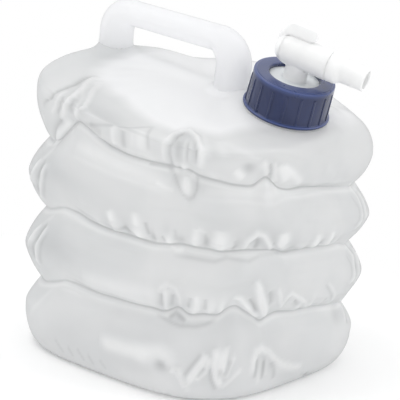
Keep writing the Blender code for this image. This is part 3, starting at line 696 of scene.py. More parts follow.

# Folds along a path: (points, half width, rise, kind). A light one is only painted light on the film
# and a dark one only painted shade, as strongly as its rise says
FOLDS = (
    # rear left corner of the top: the fold's rim and the streaks inside it
    (
        ((-175, 173), (-164, 181), (-159, 191), (-158, 199), (-162, 209), (-169, 219), (-181, 227),
         (-191, 232), (-198, 238)),
        2.0, 1.2, "crease",
    ),
    (
        ((-152, 169), (-144, 177), (-140, 184), (-139, 195), (-141, 203), (-147, 211), (-158, 221),
         (-170, 228), (-191, 237)),
        2.2, 1.5, "ridge",
    ),
    (((-161, 171), (-154, 178), (-151, 190), (-150, 197), (-154, 208)), 1.6, 0.6, "light"),
    (((-154, 172), (-148, 179), (-145, 190), (-146, 200)), 1.4, 0.5, "dark"),
    (((-137, 176), (-135, 185), (-135, 194), (-139, 205)), 2.2, 0.8, "crease"),
    (
        ((-132, 177), (-130, 183), (-129, 190), (-131, 201), (-136, 208), (-144, 214), (-155, 221)),
        1.3, 0.6, "light",
    ),
    (
        ((-136, 173), (-128, 180), (-125, 189), (-124, 199), (-129, 207), (-137, 215), (-147, 223),
         (-159, 231), (-177, 238)),
        1.9, 1.2, "ridge",
    ),
    # loose flap across the top crease
    (((-141, 172), (-149, 166), (-158, 160), (-171, 151)), 2.4, 1.3, "ridge"),
    (((-147, 172), (-162, 161), (-177, 150)), 1.6, 0.9, "crease"),
    (((-136, 170), (-150, 160), (-159, 150)), 1.4, 0.5, "dark"),
    (((-176, 168), (-182, 158)), 2.6, 0.4, "light"),
    # band between the fold and the pinched oval
    (((-92, 179), (-91, 166)), 3.0, 1.0, "ridge"),
    (((-83, 179), (-82, 166)), 2.6, 0.6, "dark"),
    (((-66, 198), (-67, 168)), 6.0, 0.5, "light"),
    (((-62, 208), (-60, 169)), 1.5, 0.5, "dark"),
    (((-74, 186), (-75, 168)), 2.0, 0.3, "light"),
    (((-116, 174), (-104, 170)), 3.0, 0.45, "dark"),
    (((-128, 172), (-109, 175), (-95, 179), (-82, 192), (-71, 202), (-60, 210)), 1.5, 0.5, "dark"),
    # pinched oval over the near corner, its knot and the leaf under it
    (((-33, 223), (-39, 212), (-41, 190), (-43, 170), (-41, 158)), 1.8, 1.2, "crease"),
    (((-38, 223), (-43, 210), (-46, 190), (-48, 164)), 1.8, 0.8, "ridge"),
    (((-39, 218), (-31, 223), (-23, 214), (-18, 193), (-18, 166)), 2.4, 1.4, "ridge"),
    (((-18, 222), (-15, 204), (-13, 174)), 2.6, 0.5, "light"),
    (((-24, 211), (-22, 188), (-22, 168)), 1.6, 0.9, "crease"),
    (((-36, 205), (-36, 185), (-36, 166)), 2.6, 0.55, "dark"),
    (((-31, 212), (-31, 188), (-31, 164)), 1.4, 0.6, "light"),
    (((-27, 208), (-27, 188), (-27, 168)), 1.3, 0.4, "light"),
    (((-29, 206), (-28, 184), (-29, 168)), 1.1, 0.4, "dark"),
    (((-40, 161), (-36, 155), (-30, 148), (-25, 145)), 1.5, 0.8, "crease"),
    (((-20, 161), (-19, 153), (-21, 147), (-26, 144)), 1.5, 0.8, "crease"),
    (((-28, 159), (-25, 147)), 2.2, 0.9, "ridge"),
    (((-24, 162), (-20, 157)), 1.4, 0.7, "light"),
    (((-62, 160), (-42, 162)), 1.3, 0.6, "dark"),
    (((-6, 214), (-4, 200), (-3, 182)), 4.0, 0.3, "light"),
    # facet beside the kink of the top crease, with painted light on it
    (((37, 179), (41, 171), (45, 163)), 1.8, 0.9, "ridge"),
    (((43, 177), (49, 171), (54, 164)), 3.4, 0.9, "light"),
    (((47, 177), (58, 171), (72, 163)), 3.2, 0.9, "light"),
    (((26, 180), (31, 174), (36, 168)), 2.4, 1.1, "ridge"),
    (((27, 159), (37, 162), (49, 158)), 2.4, 0.6, "light"),
    (((35, 178), (38, 172), (41, 165)), 1.4, 0.7, "crease"),
    (((7, 170), (11, 167), (15, 164)), 3.2, 0.7, "light"),
    (((-3, 215), (12, 198), (26, 181)), 5.0, 0.35, "light"),
    (((98, 176), (112, 168)), 4.0, 0.2, "light"),
    # edge of the shelf under each crease
    (((-128, 150), (-111, 148), (-82, 146), (-55, 146), (-38, 145)), 1.6, 0.3, "ridge"),
    (((-16, 147), (16, 149), (43, 149), (54, 152), (97, 155), (134, 156)), 1.6, 0.3, "ridge"),
    (((-128, 158), (-96, 154), (-55, 151), (-40, 151)), 5.0, 0.6, "light"),
    (((-14, 152), (16, 154), (54, 156), (97, 158), (134, 159)), 3.6, 0.55, "light"),
    (((-52, 150), (-43, 148), (-36, 148)), 1.4, 0.5, "light"),
    (((-154, 107), (-129, 106), (-104, 104), (-68, 104), (-50, 104)), 1.5, 0.3, "ridge"),
    (((-33, 103), (-20, 104), (-1, 104), (8, 107), (26, 106), (37, 109), (62, 110)), 1.4, 0.45, "dark"),
    (((-37, 108), (-31, 106), (-25, 108)), 1.6, 0.7, "light"),
    (((-154, 109), (-104, 107), (-50, 107), (10, 109), (70, 112)), 2.2, 0.4, "light"),
    (((-147, 53), (-119, 54), (-97, 55), (-77, 56), (-45, 57)), 1.5, 0.3, "ridge"),
    (((-44, 57), (-31, 55), (-23, 54), (-11, 55), (-4, 57), (5, 61)), 1.4, 0.5, "dark"),
    (((-147, 57), (-97, 58), (-50, 60)), 2.4, 0.35, "light"),
    (((-33, 57), (-27, 62), (-19, 57)), 1.7, 0.7, "dark"),
    # arches and streaks over the middle crease
    (((22, 113), (22, 121), (28, 128), (35, 126), (42, 120), (50, 113)), 2.4, 1.5, "ridge"),
    (((30, 124), (32, 118), (33, 113)), 1.8, 0.5, "dark"),
    (((47, 119), (53, 116), (60, 113)), 1.7, 0.8, "crease"),
    (((-16, 127), (-11, 124), (-7, 121)), 1.5, 0.5, "light"),
    (((-90, 111), (-82, 110), (-74, 113)), 1.4, 0.6, "dark"),
    (((-89, 122), (-87, 115)), 3.2, 0.7, "light"),
    (((-66, 126), (-65, 117)), 3.4, 0.6, "light"),
    (((-17, 126), (-17, 117)), 2.4, 0.5, "light"),
    (((-1, 128), (0, 118)), 4.6, 0.5, "light"),
    (((54, 128), (56, 118)), 4.4, 0.7, "light"),
    (((95, 124), (95, 116)), 3.4, 0.6, "light"),
    (((113, 125), (114, 116)), 2.2, 0.7, "light"),
    (((-57, 122), (-55, 112)), 1.6, 0.6, "dark"),
    (((-33, 122), (-32, 113)), 1.6, 0.4, "dark"),
    (((-10, 124), (-9, 114)), 1.5, 0.4, "dark"),
    (((12, 122), (13, 112)), 1.5, 0.4, "dark"),
    (((-44, 114), (-41, 111)), 1.4, 0.6, "dark"),
    # streaks over the lower crease
    (((-112, 68), (-80, 70), (-40, 74)), 6.0, 0.55, "light"),
    (((-22, 70), (0, 72), (26, 75), (60, 74)), 8.0, 0.6, "light"),
    (((-35, 81), (-36, 62)), 2.1, 1.1, "ridge"),
    (((-42, 76), (-39, 81), (-34, 84), (-28, 82), (-25, 74), (-24, 66)), 1.5, 0.7, "ridge"),
    (((-39, 76), (-40, 64)), 1.5, 0.7, "crease"),
    (((-30, 77), (-31, 66)), 1.5, 0.7, "crease"),
    (((-17, 77), (-18, 67)), 1.5, 0.7, "crease"),
    (((-13, 79), (-10, 66)), 1.7, 0.6, "light"),
    (((-6, 78), (-5, 68)), 1.5, 0.5, "dark"),
    (((15, 80), (21, 79), (30, 71), (36, 66), (43, 62)), 2.0, 1.2, "ridge"),
    (((30, 93), (37, 81), (49, 62)), 3.0, 1.7, "ridge"),
    (((28, 79), (34, 73), (39, 66)), 1.7, 0.9, "crease"),
    (((44, 85), (47, 80), (50, 73)), 2.2, 0.9, "crease"),
    (((52, 87), (58, 78), (64, 68)), 1.7, 0.9, "ridge"),
    (((62, 72), (65, 79), (69, 81), (77, 77), (88, 71), (98, 63)), 1.6, 0.9, "ridge"),
    (((74, 75), (80, 69)), 1.8, 0.7, "crease"),
    (((111, 82), (122, 73), (134, 63)), 1.2, 0.5, "dark"),
    (((115, 83), (126, 75), (137, 66)), 1.3, 0.5, "light"),
    (((119, 70), (115, 64)), 1.8, 0.5, "dark"),
    # the lowest pleat, round the near corner
    (((-92, 29), (-66, 30), (-49, 32), (-36, 34), (-30, 32), (-26, 26)), 4.6, 1.0, "ridge"),
    (((-88, 26), (-60, 27), (-46, 26)), 5.0, 0.5, "light"),
    (((-27, 21), (-24, 25), (-21, 22), (-18, 16), (-15, 11)), 1.6, 1.0, "ridge"),
    (((-21, 25), (-17, 22)), 1.5, 0.7, "light"),
    (((-14, 16), (-13, 7)), 2.4, 0.6, "light"),
    (((-14, 15), (-8, 27), (-1, 38)), 2.0, 1.4, "ridge"),
    (((-12, 17), (-5, 26), (0, 35)), 3.6, 0.6, "light"),
    (((1, 36), (-1, 26), (-8, 18)), 1.6, 0.9, "ridge"),
    (((-7, 21), (-4, 25), (-2, 29)), 1.3, 0.5, "dark"),
    (((-17, 20), (-11, 30), (-5, 38)), 1.5, 0.5, "dark"),
    (((5, 42), (4, 30), (7, 21), (12, 13)), 2.0, 1.2, "ridge"),
    (((9, 42), (8, 30), (10, 16)), 4.0, 0.6, "light"),
    (((14, 44), (12, 36), (10, 25)), 1.8, 1.0, "ridge"),
    (((9, 30), (9, 22)), 1.8, 0.5, "dark"),
    (((1, 31), (3, 20), (8, 11)), 1.4, 0.5, "dark"),
    (((17, 35), (13, 22)), 1.4, 0.5, "dark"),
    (((20, 38), (16, 29), (14, 20)), 1.5, 0.9, "ridge"),
    (((26, 28), (19, 20), (12, 13)), 1.6, 0.9, "ridge"),
    (
        ((36, 22), (36, 32), (39, 38), (45, 40), (52, 37), (59, 30), (68, 25), (81, 20), (97, 17)),
        2.2, 1.5, "ridge",
    ),
    (((57, 27), (68, 21), (82, 17), (100, 14)), 3.4, 0.5, "light"),
    (((51, 33), (51, 26), (52, 18)), 1.8, 0.6, "light"),
    (((45, 34), (44, 22), (45, 12)), 1.7, 0.7, "light"),
    (((40, 34), (40, 18)), 1.6, 0.6, "dark"),
    (((48, 32), (48, 16)), 1.4, 0.6, "dark"),
    (((55, 29), (60, 22), (62, 13)), 2.4, 0.5, "dark"),
    (((-126, 15), (-121, 8)), 1.3, 0.35, "dark"),
    (((-115, 16), (-109, 8)), 1.3, 0.35, "dark"),
    (((-104, 15), (-99, 7)), 1.3, 0.35, "dark"),
    (((-92, 14), (-86, 8)), 1.3, 0.3, "dark"),
    (((-140, 17), (-132, 8)), 1.4, 0.3, "dark"),
    (((100, 9), (112, 4), (124, 5)), 1.4, 0.4, "dark"),
    # the see-through margins
    (((-176, 128), (-166, 140), (-158, 152)), 2.6, 0.3, "light"),
    (((-162, 140), (-167, 127), (-176, 116), (-185, 110)), 1.7, 1.0, "crease"),
    (((-156, 138), (-162, 126), (-171, 115), (-180, 107)), 1.9, 0.9, "ridge"),
    (((-171, 138), (-176, 127), (-185, 118)), 1.7, 0.8, "ridge"),
    (((-175, 114), (-184, 110)), 1.8, 0.8, "light"),
    (((-153, 134), (-164, 119), (-173, 110)), 1.6, 0.35, "dark"),
    (((-178, 82), (-168, 92), (-156, 102)), 2.6, 0.3, "light"),
    (((-161, 96), (-165, 85), (-171, 74), (-175, 65)), 1.6, 1.0, "crease"),
    (((-156, 94), (-160, 83), (-166, 71), (-170, 62)), 1.8, 0.9, "ridge"),
    (((-170, 92), (-173, 82), (-180, 72)), 1.6, 0.8, "ridge"),
    (((-168, 69), (-173, 64)), 1.8, 0.8, "light"),
    (((-152, 90), (-160, 73), (-165, 64)), 1.5, 0.35, "dark"),
    (((-176, 24), (-164, 36), (-154, 50)), 2.4, 0.25, "light"),
    (((158, 161), (165, 150), (163, 139), (155, 126)), 1.6, 0.9, "crease"),
    (((152, 159), (160, 148), (158, 137), (149, 122)), 1.8, 0.8, "ridge"),
    (((146, 150), (153, 140), (147, 126)), 1.5, 0.3, "dark"),
    (((172, 152), (170, 141), (163, 129)), 1.8, 0.7, "ridge"),
    (((164, 110), (170, 98), (164, 87), (155, 76)), 1.6, 0.9, "crease"),
    (((158, 108), (164, 97), (158, 86), (149, 75)), 1.8, 0.8, "ridge"),
    (((150, 100), (155, 92), (148, 80)), 1.5, 0.3, "dark"),
    (((176, 102), (173, 90), (164, 79)), 1.8, 0.7, "ridge"),
    (((172, 60), (178, 49), (168, 37)), 1.6, 0.8, "crease"),
    (((165, 60), (172, 49), (162, 38)), 1.8, 0.7, "ridge"),
)

# Dents and swellings: (distance round, height, half width, half height, turn in degrees, rise)
DENTS = (
    (-104, 198, 25, 15, -12, -1.6),
    (-32, 192, 8, 24, 3, -1.6),
    (-31, 164, 3.0, 2.2, 0, 1.6),
    (-37, 162, 2.4, 2.0, 0, 1.2),
    (-28, 153, 4.5, 7.0, 0, 0.9),
    (17, 173, 5.5, 5.0, 0, -0.9),
    (11, 167, 4.0, 4.0, 0, 0.5),
    (52, 170, 9, 5, -20, 0.6),
    (-66, 174, 6, 8, 0, 0.5),
    (-86, 118, 4.5, 4.0, 0, 0.6),
    (-64, 121, 4.5, 4.0, 0, 0.5),
    (2, 123, 6.0, 5.0, 0, 0.5),
    (12, 118, 2.5, 4.0, 0, 0.5),
    (56, 123, 5.5, 4.5, 0, 0.6),
    (-35, 25, 5.0, 4.0, -15, -0.8),
    (-48, 29, 10, 6, 0, 0.7),
    (9, 32, 3.4, 10, 3, 0.8),
    (48, 27, 7, 10, 0, -0.5),
    (112, 4, 3, 3, 0, -1.0),
    (150, 49, 12, 9, 25, -1.0),
    (168, 58, 8, 6, -20, 0.8),
    (170, 94, 6, 5, 0, 0.8),
    (160, 80, 5, 4, 0, 0.8),
    (-176, 121, 7, 5, 20, 0.8),
    (-172, 80, 6, 6, 20, 0.8),
)

# Depth of a pleat as a share of its full depth, from its upper crease to its lower one
PLEAT_SHAPE = (
    (0.0, 0.0), (0.09, 0.46), (0.20, 0.80), (0.33, 0.94), (0.50, 1.0), (0.68, 0.98), (0.80, 0.90),
    (0.91, 0.62), (1.0, 0.0),
)
SHAPE_SMOOTHING = 0.012
BLUNTNESS = 0.02

# Edge of the thick milky top: (distance round, height up the film), and how soft the edge is
MILK_EDGE = (
    (-390, 232), (-260, 234), (-199, 238), (-122, 233), (-66, 215), (-44, 214), (-33, 223),
    (-3, 224), (17, 231), (44, 233), (80, 224), (123, 207), (200, 212), (300, 230),
)
MILK_SOFTNESS = 9.0

# How far along a pucker it is full and has faded, and a fold's tapered ends, as shares
PUCKER_RISE_SHARE = 0.22
PUCKER_FADE_SHARE = 0.62
FOLD_END_SHARE = 0.14

# Painted highlights, painted shade and painted valley light that the folds and creases give the film; heights
# and half widths are in millimetres
FULL_TONE_RISE = 1.1
TONE_SMOOTHING_ROUNDS = 40
CREASE_DARKNESS = 0.90
CREASE_HALF_WIDTH = 1.0
SHELF_LIGHTNESS = 0.55
SHELF_DROP = 3.2
SHELF_HALF_WIDTH = 1.4
VALLEY_GLOW_HALF_WIDTH = 5.0

# Pleats are shallower round the middle of each face: (full reach, end), from that middle
FACE_DEPTH_SHARE = 0.78
FACE_MIDDLE = 105.0
FACE_REACH = (30.0, 80.0)

# Rows and columns of the film
FRONT_EXTRA_CLOSENESS = 2.0
FRONT_REACH = 190.0
REAR_START = 260.0
UNDERSIDE_ROWS = 7
BASE_CORNER_ROWS = 18
SHOULDER_QUARTER_ROWS = 46
SHOULDER_ROWS = 27
DECK_ROWS = 35
INNERMOST_SHARE = 0.02

# Where the shoulders are fuller: (distance round, half width, height up the film, rise in metres)
SHOULDER_LIFTS = ((-250.0, 60.0, 207.0, 0.004), (160.0, 45.0, 207.0, 0.004), (172.0, 30.0, 224.0, 0.0025))
SHOULDER_LIFT_HALF_HEIGHT = 15.0

# Painted shade and painted light on the film: soft darker and lighter places, among them a broad darkening
# down the left side; listed as dents are, with the darkness last
SHADES = (
    (-150, 136, 22, 10, -10, 0.40),
    (-145, 84, 22, 12, -5, 0.50),
    (-110, 128, 34, 9, -4, 0.25),
    (-120, 22, 40, 20, 0, 0.34),
    (-155, 110, 52, 95, 0, 0.14),
    (-118, 78, 44, 14, -5, 0.22),
    (168, 88, 16, 16, 0, 0.22),
    (-104, 200, 30, 14, -14, 0.50),
    (-32, 194, 6, 22, 3, 0.40),
    (-45, 156, 8, 6, 0, 0.30),
    (-15, 155, 6, 5, 0, 0.25),
    (17, 173, 5.5, 5, 0, 0.35),
    (-39, 119, 3.5, 5.5, 0, 0.35),
    (-25, 59, 5, 4, 0, 0.35),
    (-35, 25, 5.5, 4.5, -15, 0.42),
    (160, 50, 12, 9, 20, 0.30),
    (79, 70, 4, 4, 0, 0.30),
    (48, 80, 4, 6, 10, 0.35),
    (60, 190, 40, 14, 0, -0.30),
    (-60, 68, 26, 6, -4, -0.35),
    (120, 190, 20, 12, 0, -0.15),
)


def smooth_step(value, low, high):
    """0 below the low value and 1 above the high one, smooth between."""
    place = np.clip((value - low) / (high - low), 0.0, 1.0)
    return place * place * (3.0 - 2.0 * place)


def bell(value, half_width):
    """1 at zero, falling away smoothly on both sides."""
    return np.exp(-((value / half_width) ** 2))


def moved(points, matrix):
    placed = np.array(matrix)
    return points @ placed[:3, :3].T + placed[:3, 3]


def section_columns(count):
    """Directions round the section, closest in front, their distances round it, and the whole way."""
    angle = np.linspace(-1.25 * math.pi, 0.75 * math.pi, 7201)
    x, y = np.cos(angle), np.sin(angle)
    size = (np.abs(x) ** SECTION_EXPONENT + np.abs(y) ** SECTION_EXPONENT) ** (1.0 / SECTION_EXPONENT)
    x, y = x / size, y / size
    along = np.concatenate(([0.0], np.cumsum(np.hypot(np.diff(x), np.diff(y)))))
    around = (along - along[-1] / 2) * CREST_HALF_WIDTH / MM
    front = 1.0 - smooth_step(np.abs(around), FRONT_REACH, REAR_START)
    closeness = 1.0 + FRONT_EXTRA_CLOSENESS * front
    steps = 0.5 * (closeness[1:] + closeness[:-1]) * np.diff(along)
    density = np.concatenate(([0.0], np.cumsum(steps)))
    chosen = np.interp((np.arange(count) + 0.5) / count * density[-1], density, along)
    directions = np.stack((np.interp(chosen, along, x), np.interp(chosen, along, y)), axis=1)
    return directions, np.interp(chosen, along, around), along[-1] * CREST_HALF_WIDTH / MM


def blurred(padded, reach, count):
    """Each value averaged with those up to a count of places away, the near ones most."""
    spread = np.exp(-0.5 * (np.arange(-count, count + 1) / reach) ** 2)
    return np.convolve(padded, spread / spread.sum(), "valid")


def pleat_depth_share(place, cornerness):
    """Share of the pleat's depth: full on the flats, a blunt V at the corners."""
    fine = np.linspace(0.0, 1.0, 1001)
    shape = np.interp(fine, *zip(*PLEAT_SHAPE))
    padded = np.concatenate((-shape[60:0:-1], shape, -shape[-2:-62:-1]))
    full = np.interp(place, fine, blurred(padded, SHAPE_SMOOTHING * 1000, 60))
    blunt = 1.0 - np.sqrt((1.0 - 2.0 * place) ** 2 + BLUNTNESS) / math.sqrt(1.0 + BLUNTNESS)
    sharp = blunt / (1.0 - math.sqrt(BLUNTNESS / (1.0 + BLUNTNESS)))
    corner = 0.35 * np.abs(np.sin(math.pi * place)) + 0.65 * sharp
    return full + (corner - full) * 0.85 * cornerness


def valley_height(around, perimeter, valley):
    """Height of a valley's crease round the bag, softened over a few columns each way."""
    places, rises = zip(*VALLEY_RISE_SHARES[valley])
    rise = np.interp(around / perimeter, places, rises, period=1.0)
    rise = blurred(np.concatenate((rise[-6:], rise, rise[:6])), 2, 6)
    return LOWEST_CREST_HEIGHT + (valley + 0.5 + rise) * PLEAT_PITCH


def fan(x, y):
    """What a level's height is multiplied by, because the pleats lean apart like a fan."""
    return 1.0 - x / BEND_RADIUS_X - y / BEND_RADIUS_Y


def deck_level(x, y):
    """Height of the sloping top panel over a place."""
    return DECK_HEIGHT - x * math.tan(DECK_TILT_X) - y * math.tan(DECK_TILT_Y)


def shoulder_exponent(directions):
    """How square the shoulder is: full at the rear, sloping at the two corners of the +Y side."""
    away_side = np.maximum(directions[:, 1], 0.0)
    rearward = np.maximum(-directions[:, 0], 0.0) * (1.0 - away_side)
    away = np.minimum(AWAY_CORNER_SHARE * np.abs(directions[:, 0]) * away_side, 1.0)
    exponent = SHOULDER_EXPONENT + (REAR_SHOULDER_EXPONENT - SHOULDER_EXPONENT) * rearward
    return exponent + (AWAY_SHOULDER_EXPONENT - exponent) * away


class BagGrid:
    """The film as a grid: columns round the bag, rows from the underside's middle to the top's."""

    def __init__(self, form):
        self.directions, self.around, self.perimeter = section_columns(form.columns)
        across = np.abs(self.directions[:, 0] * self.directions[:, 1])
        self.cornerness = smooth_step(across / across.max(), 0.15, 0.7)
        off_middle = smooth_step(np.abs(np.abs(self.around) - FACE_MIDDLE), *FACE_REACH)
        self.depth_share = FACE_DEPTH_SHARE + (1.0 - FACE_DEPTH_SHARE) * off_middle
        self.form = form
        self.valleys = [valley_height(self.around, self.perimeter, valley) for valley in range(PLEAT_COUNT)]
        followed = BELLOWS_TOP + CREST_FOLLOW_SHARE * (self.valleys[-1] - BELLOWS_TOP + PLEAT_PITCH / 2)
        edge = (self.directions * CREST_HALF_WIDTH).T
        self.top_crest = np.minimum(followed, (deck_level(*edge) - TOP_CREST_DROP) / fan(*edge))
        self.rows = []
        self.climb = []
        self.add_underside()
        self.add_pleats()
        self.add_shoulder()
        self.points = np.array(self.rows)
        self.climb = np.array(self.climb)
        self.round_top_crest()

    def level(self, half_width, height, climb=None):
        """One row at a pleat level; the climb is the level's height unless it is given."""
        x = self.directions[:, 0] * half_width
        y = self.directions[:, 1] * half_width
        height = np.broadcast_to(height, x.shape)
        self.rows.append(np.stack((x, y, height * fan(x, y)), axis=1))
        self.climb.append((height if climb is None else np.full(len(x), climb)) / MM)

    def add_underside(self):
        for share in np.linspace(0.03, 0.97, UNDERSIDE_ROWS):
            half_width = FLAT_BASE_HALF_WIDTH * share
            self.level(half_width, 0.0, half_width - FLAT_BASE_HALF_WIDTH)
        for angle in np.linspace(0.0, math.pi / 2, BASE_CORNER_ROWS, endpoint=False):
            half_width = FLAT_BASE_HALF_WIDTH + BASE_CORNER_WIDTH * math.sin(angle)
            self.level(half_width, LOWEST_CREST_HEIGHT * (1.0 - math.cos(angle)))

    def pleat_height(self, place):
        """Height of the film at a place counted in pleats, evenly spread between the creases."""
        if place < 0.5:
            return LOWEST_CREST_HEIGHT + (self.valleys[0] - LOWEST_CREST_HEIGHT) * place * 2.0
        if place > PLEAT_COUNT - 0.5:
            return self.valleys[-1] + (self.top_crest - self.valleys[-1]) * (place - PLEAT_COUNT + 0.5) * 2.0
        lower = min(int(place - 0.5), PLEAT_COUNT - 2)
        return self.valleys[lower] + (self.valleys[lower + 1] - self.valleys[lower]) * (place - 0.5 - lower)

    def add_pleats(self):
        steps = self.form.pleat_rows
        for step in range(PLEAT_COUNT * steps + 1):
            even = step / steps
            place = even + 0.45 * math.sin(2.0 * math.pi * even) / (2.0 * math.pi)
            pleat = min(int(place), PLEAT_COUNT - 1)
            nearest = pleat + round(place - pleat)
            crest = CREST_HALF_WIDTH * CREST_SHARES[nearest]
            valley = (CREST_HALF_WIDTH - self.form.pleat_depth * self.depth_share) * VALLEY_SHARES[pleat]
            share = pleat_depth_share((0.5 - place) % 1.0, self.cornerness)
            self.level(valley + (crest - valley) * share, self.pleat_height(place))

    def add_shoulder(self):
        turns = [math.pi / 2 * step / SHOULDER_QUARTER_ROWS for step in range(1, SHOULDER_ROWS + 1)]
        turning = [math.cos(turn) ** 0.5 for turn in turns]
        shares = turning + list(np.linspace(turning[-1], INNERMOST_SHARE, DECK_ROWS + 1)[1:])
        exponent = shoulder_exponent(self.directions)
        climb = BELLOWS_TOP
        before = (CREST_HALF_WIDTH, 0.0)
        for share in shares:
            nominal_rise = (1.0 - share ** SHOULDER_EXPONENT) ** (1.0 / SHOULDER_EXPONENT)
            nominal = (CREST_HALF_WIDTH * share, DECK_RISE * nominal_rise)
            climb += math.dist(before, nominal)
            before = nominal
            rise = (1.0 - share ** exponent) ** (1.0 / exponent)
            x = self.directions[:, 0] * CREST_HALF_WIDTH * share
            y = self.directions[:, 1] * CREST_HALF_WIDTH * share
            crest = self.top_crest * fan(x, y)
            self.rows.append(np.stack((x, y, crest + (deck_level(x, y) - crest) * rise), axis=1))
            self.climb.append((climb + (self.top_crest - BELLOWS_TOP) * (1.0 - nominal_rise)) / MM)

    def round_top_crest(self):
        """Let the top pleat run over into the top panel without an edge."""
        above = self.climb - self.valleys[-1] / MM
        share = 0.5 * smooth_step(above, 4.0, 9.0) * (1.0 - smooth_step(self.climb, 212.0, 224.0))
        for _ in range(36):
            around = 0.5 * (np.roll(self.points, 1, axis=0) + np.roll(self.points, -1, axis=0))
            self.points = self.points + (around - self.points) * share[..., None]

    def normals(self):
        across = np.roll(self.points, -1, axis=1) - np.roll(self.points, 1, axis=1)
        upward = np.gradient(self.points, axis=0)
        normals = np.cross(across, upward)
        return normals / np.linalg.norm(normals, axis=2, keepdims=True)

    def beside(self, place):
        """Distance round the bag from a place, the short way."""
        gap = (self.around - place + self.perimeter / 2) % self.perimeter - self.perimeter / 2
        return np.broadcast_to(gap, self.climb.shape)

    def seat_fittings(self):
        """Raise the top panel to the collar under the ring, and fillet it up to the handle's feet."""
        local = moved(self.points, DECK.inverted())
        top = self.climb > (BELLOWS_TOP + SEAT_START_RISE) / MM
        lift = np.zeros(local.shape[:2])
        reach = np.hypot(local[..., 0] - NECK_X, local[..., 1])
        seat = -(local[..., 0] - NECK_X) * math.tan(NECK_TILT) + 0.1 * MM
        share = 1.0 - smooth_step(reach, SEAT_INNER_RADIUS, SEAT_OUTER_RADIUS)
        lift += (seat - local[..., 2]) * share
        for foot in (HANDLE_REAR_X, HANDLE_FRONT_X):
            gap = np.hypot(local[..., 0] - foot, local[..., 1]) - HANDLE_LEG_RADIUS
            inward = np.clip(1.0 - np.maximum(gap, 0.0) / self.form.foot_fillet, 0.0, 1.0)
            lift += FOOT_FILLET_HEIGHT * inward ** 2 * (1.0 - share)
        for place, half_width, level, rise in SHOULDER_LIFTS:
            above = (self.climb - level) / SHOULDER_LIFT_HALF_HEIGHT
            lift += rise * np.exp(-((self.beside(place) / half_width) ** 2) - above ** 2)
        between = smooth_step(local[..., 0], HANDLE_REAR_X, MOULD_LINE_START_X)
        between = between * (1.0 - smooth_step(local[..., 0], MOULD_LINE_END_X, HANDLE_FRONT_X))
        lift += MOULD_LINE_HEIGHT * bell(local[..., 1], MOULD_LINE_HALF_WIDTH) * between
        self.points = self.points + (lift * top)[..., None] * np.array(DECK.to_3x3() @ Vector((0, 0, 1)))


def path_distance(around, climb, path):
    """Signed distance of each point from a path, and its place along the path from 0 to 1."""
    points = np.array(path, float)
    lengths = np.hypot(*np.diff(points, axis=0).T)
    best = np.full(around.shape, 1e9)
    signed = np.zeros(around.shape)
    place = np.zeros(around.shape)
    run = 0.0
    for start, end, length in zip(points, points[1:], lengths):
        along = (end - start) / length
        offset_x, offset_y = around - start[0], climb - start[1]
        share = np.clip((offset_x * along[0] + offset_y * along[1]) / length, 0.0, 1.0)
        gap = np.hypot(offset_x - share * length * along[0], offset_y - share * length * along[1])
        side = np.sign(along[0] * offset_y - along[1] * offset_x)
        nearer = gap < best
        best = np.where(nearer, gap, best)
        signed = np.where(nearer, gap * side, signed)
        place = np.where(nearer, (run + share * length) / lengths.sum(), place)
        run += length
    return signed, place


def fold_height(signed, place, half_width, kind):
    """Height of a fold of height 1: a sharp valley for a crease, a round ridge for any other."""
    ends = np.clip(place / FOLD_END_SHARE, 0.0, 1.0) * np.clip((1.0 - place) / FOLD_END_SHARE, 0.0, 1.0)
    ends = np.sqrt(ends)
    if kind == "crease":
        return -np.exp(-np.abs(signed) / half_width) * ends
    return bell(signed, half_width) * ends


def hidden_puckers(valley):
    """Puckers on the sides that face away, of the same kind as those in front."""
    draw = random.Random(40 + valley)
    puckers = []
    place = 215.0
    while place < 565.0:
        sizes = draw.uniform(4.0, 7.5), draw.uniform(11.0, 24.0), draw.uniform(0.7, 1.9)
        puckers.append((place, *sizes))
        place += draw.uniform(13.0, 30.0)
    return puckers


def patches(grid, table):
    """Sum of soft oval patches, each as high as its last number."""
    height = np.zeros(grid.climb.shape)
    for place, level, half_width, half_height, turn, rise in table:
        beside, above = grid.beside(place), grid.climb - level
        turned_x = beside * math.cos(math.radians(turn)) + above * math.sin(math.radians(turn))
        turned_y = above * math.cos(math.radians(turn)) - beside * math.sin(math.radians(turn))
        height += rise * np.exp(-((turned_x / half_width) ** 2) - ((turned_y / half_height) ** 2))
    return height


def wrinkle_film(grid):
    """Height of every fold, pucker and dent at each point, in millimetres."""
    around = np.broadcast_to(grid.around, grid.climb.shape)
    height = patches(grid, DENTS)
    for valley in range(PLEAT_COUNT):
        above = grid.climb - grid.valleys[valley] / MM
        for place, half_width, length, rise in PUCKERS[valley] + tuple(hidden_puckers(valley)):
            up = np.clip(above / length, 0.0, None)
            bulge = np.clip(up / PUCKER_RISE_SHARE, 0.0, 1.0) * bell(up, PUCKER_FADE_SHARE)
            height += rise * bell(grid.beside(place), half_width) * bulge
    for path, half_width, rise, kind in FOLDS:
        if kind in ("crease", "ridge"):
            signed, place = path_distance(around, grid.climb, path)
            height += rise * fold_height(signed, place, half_width, kind)
    return height


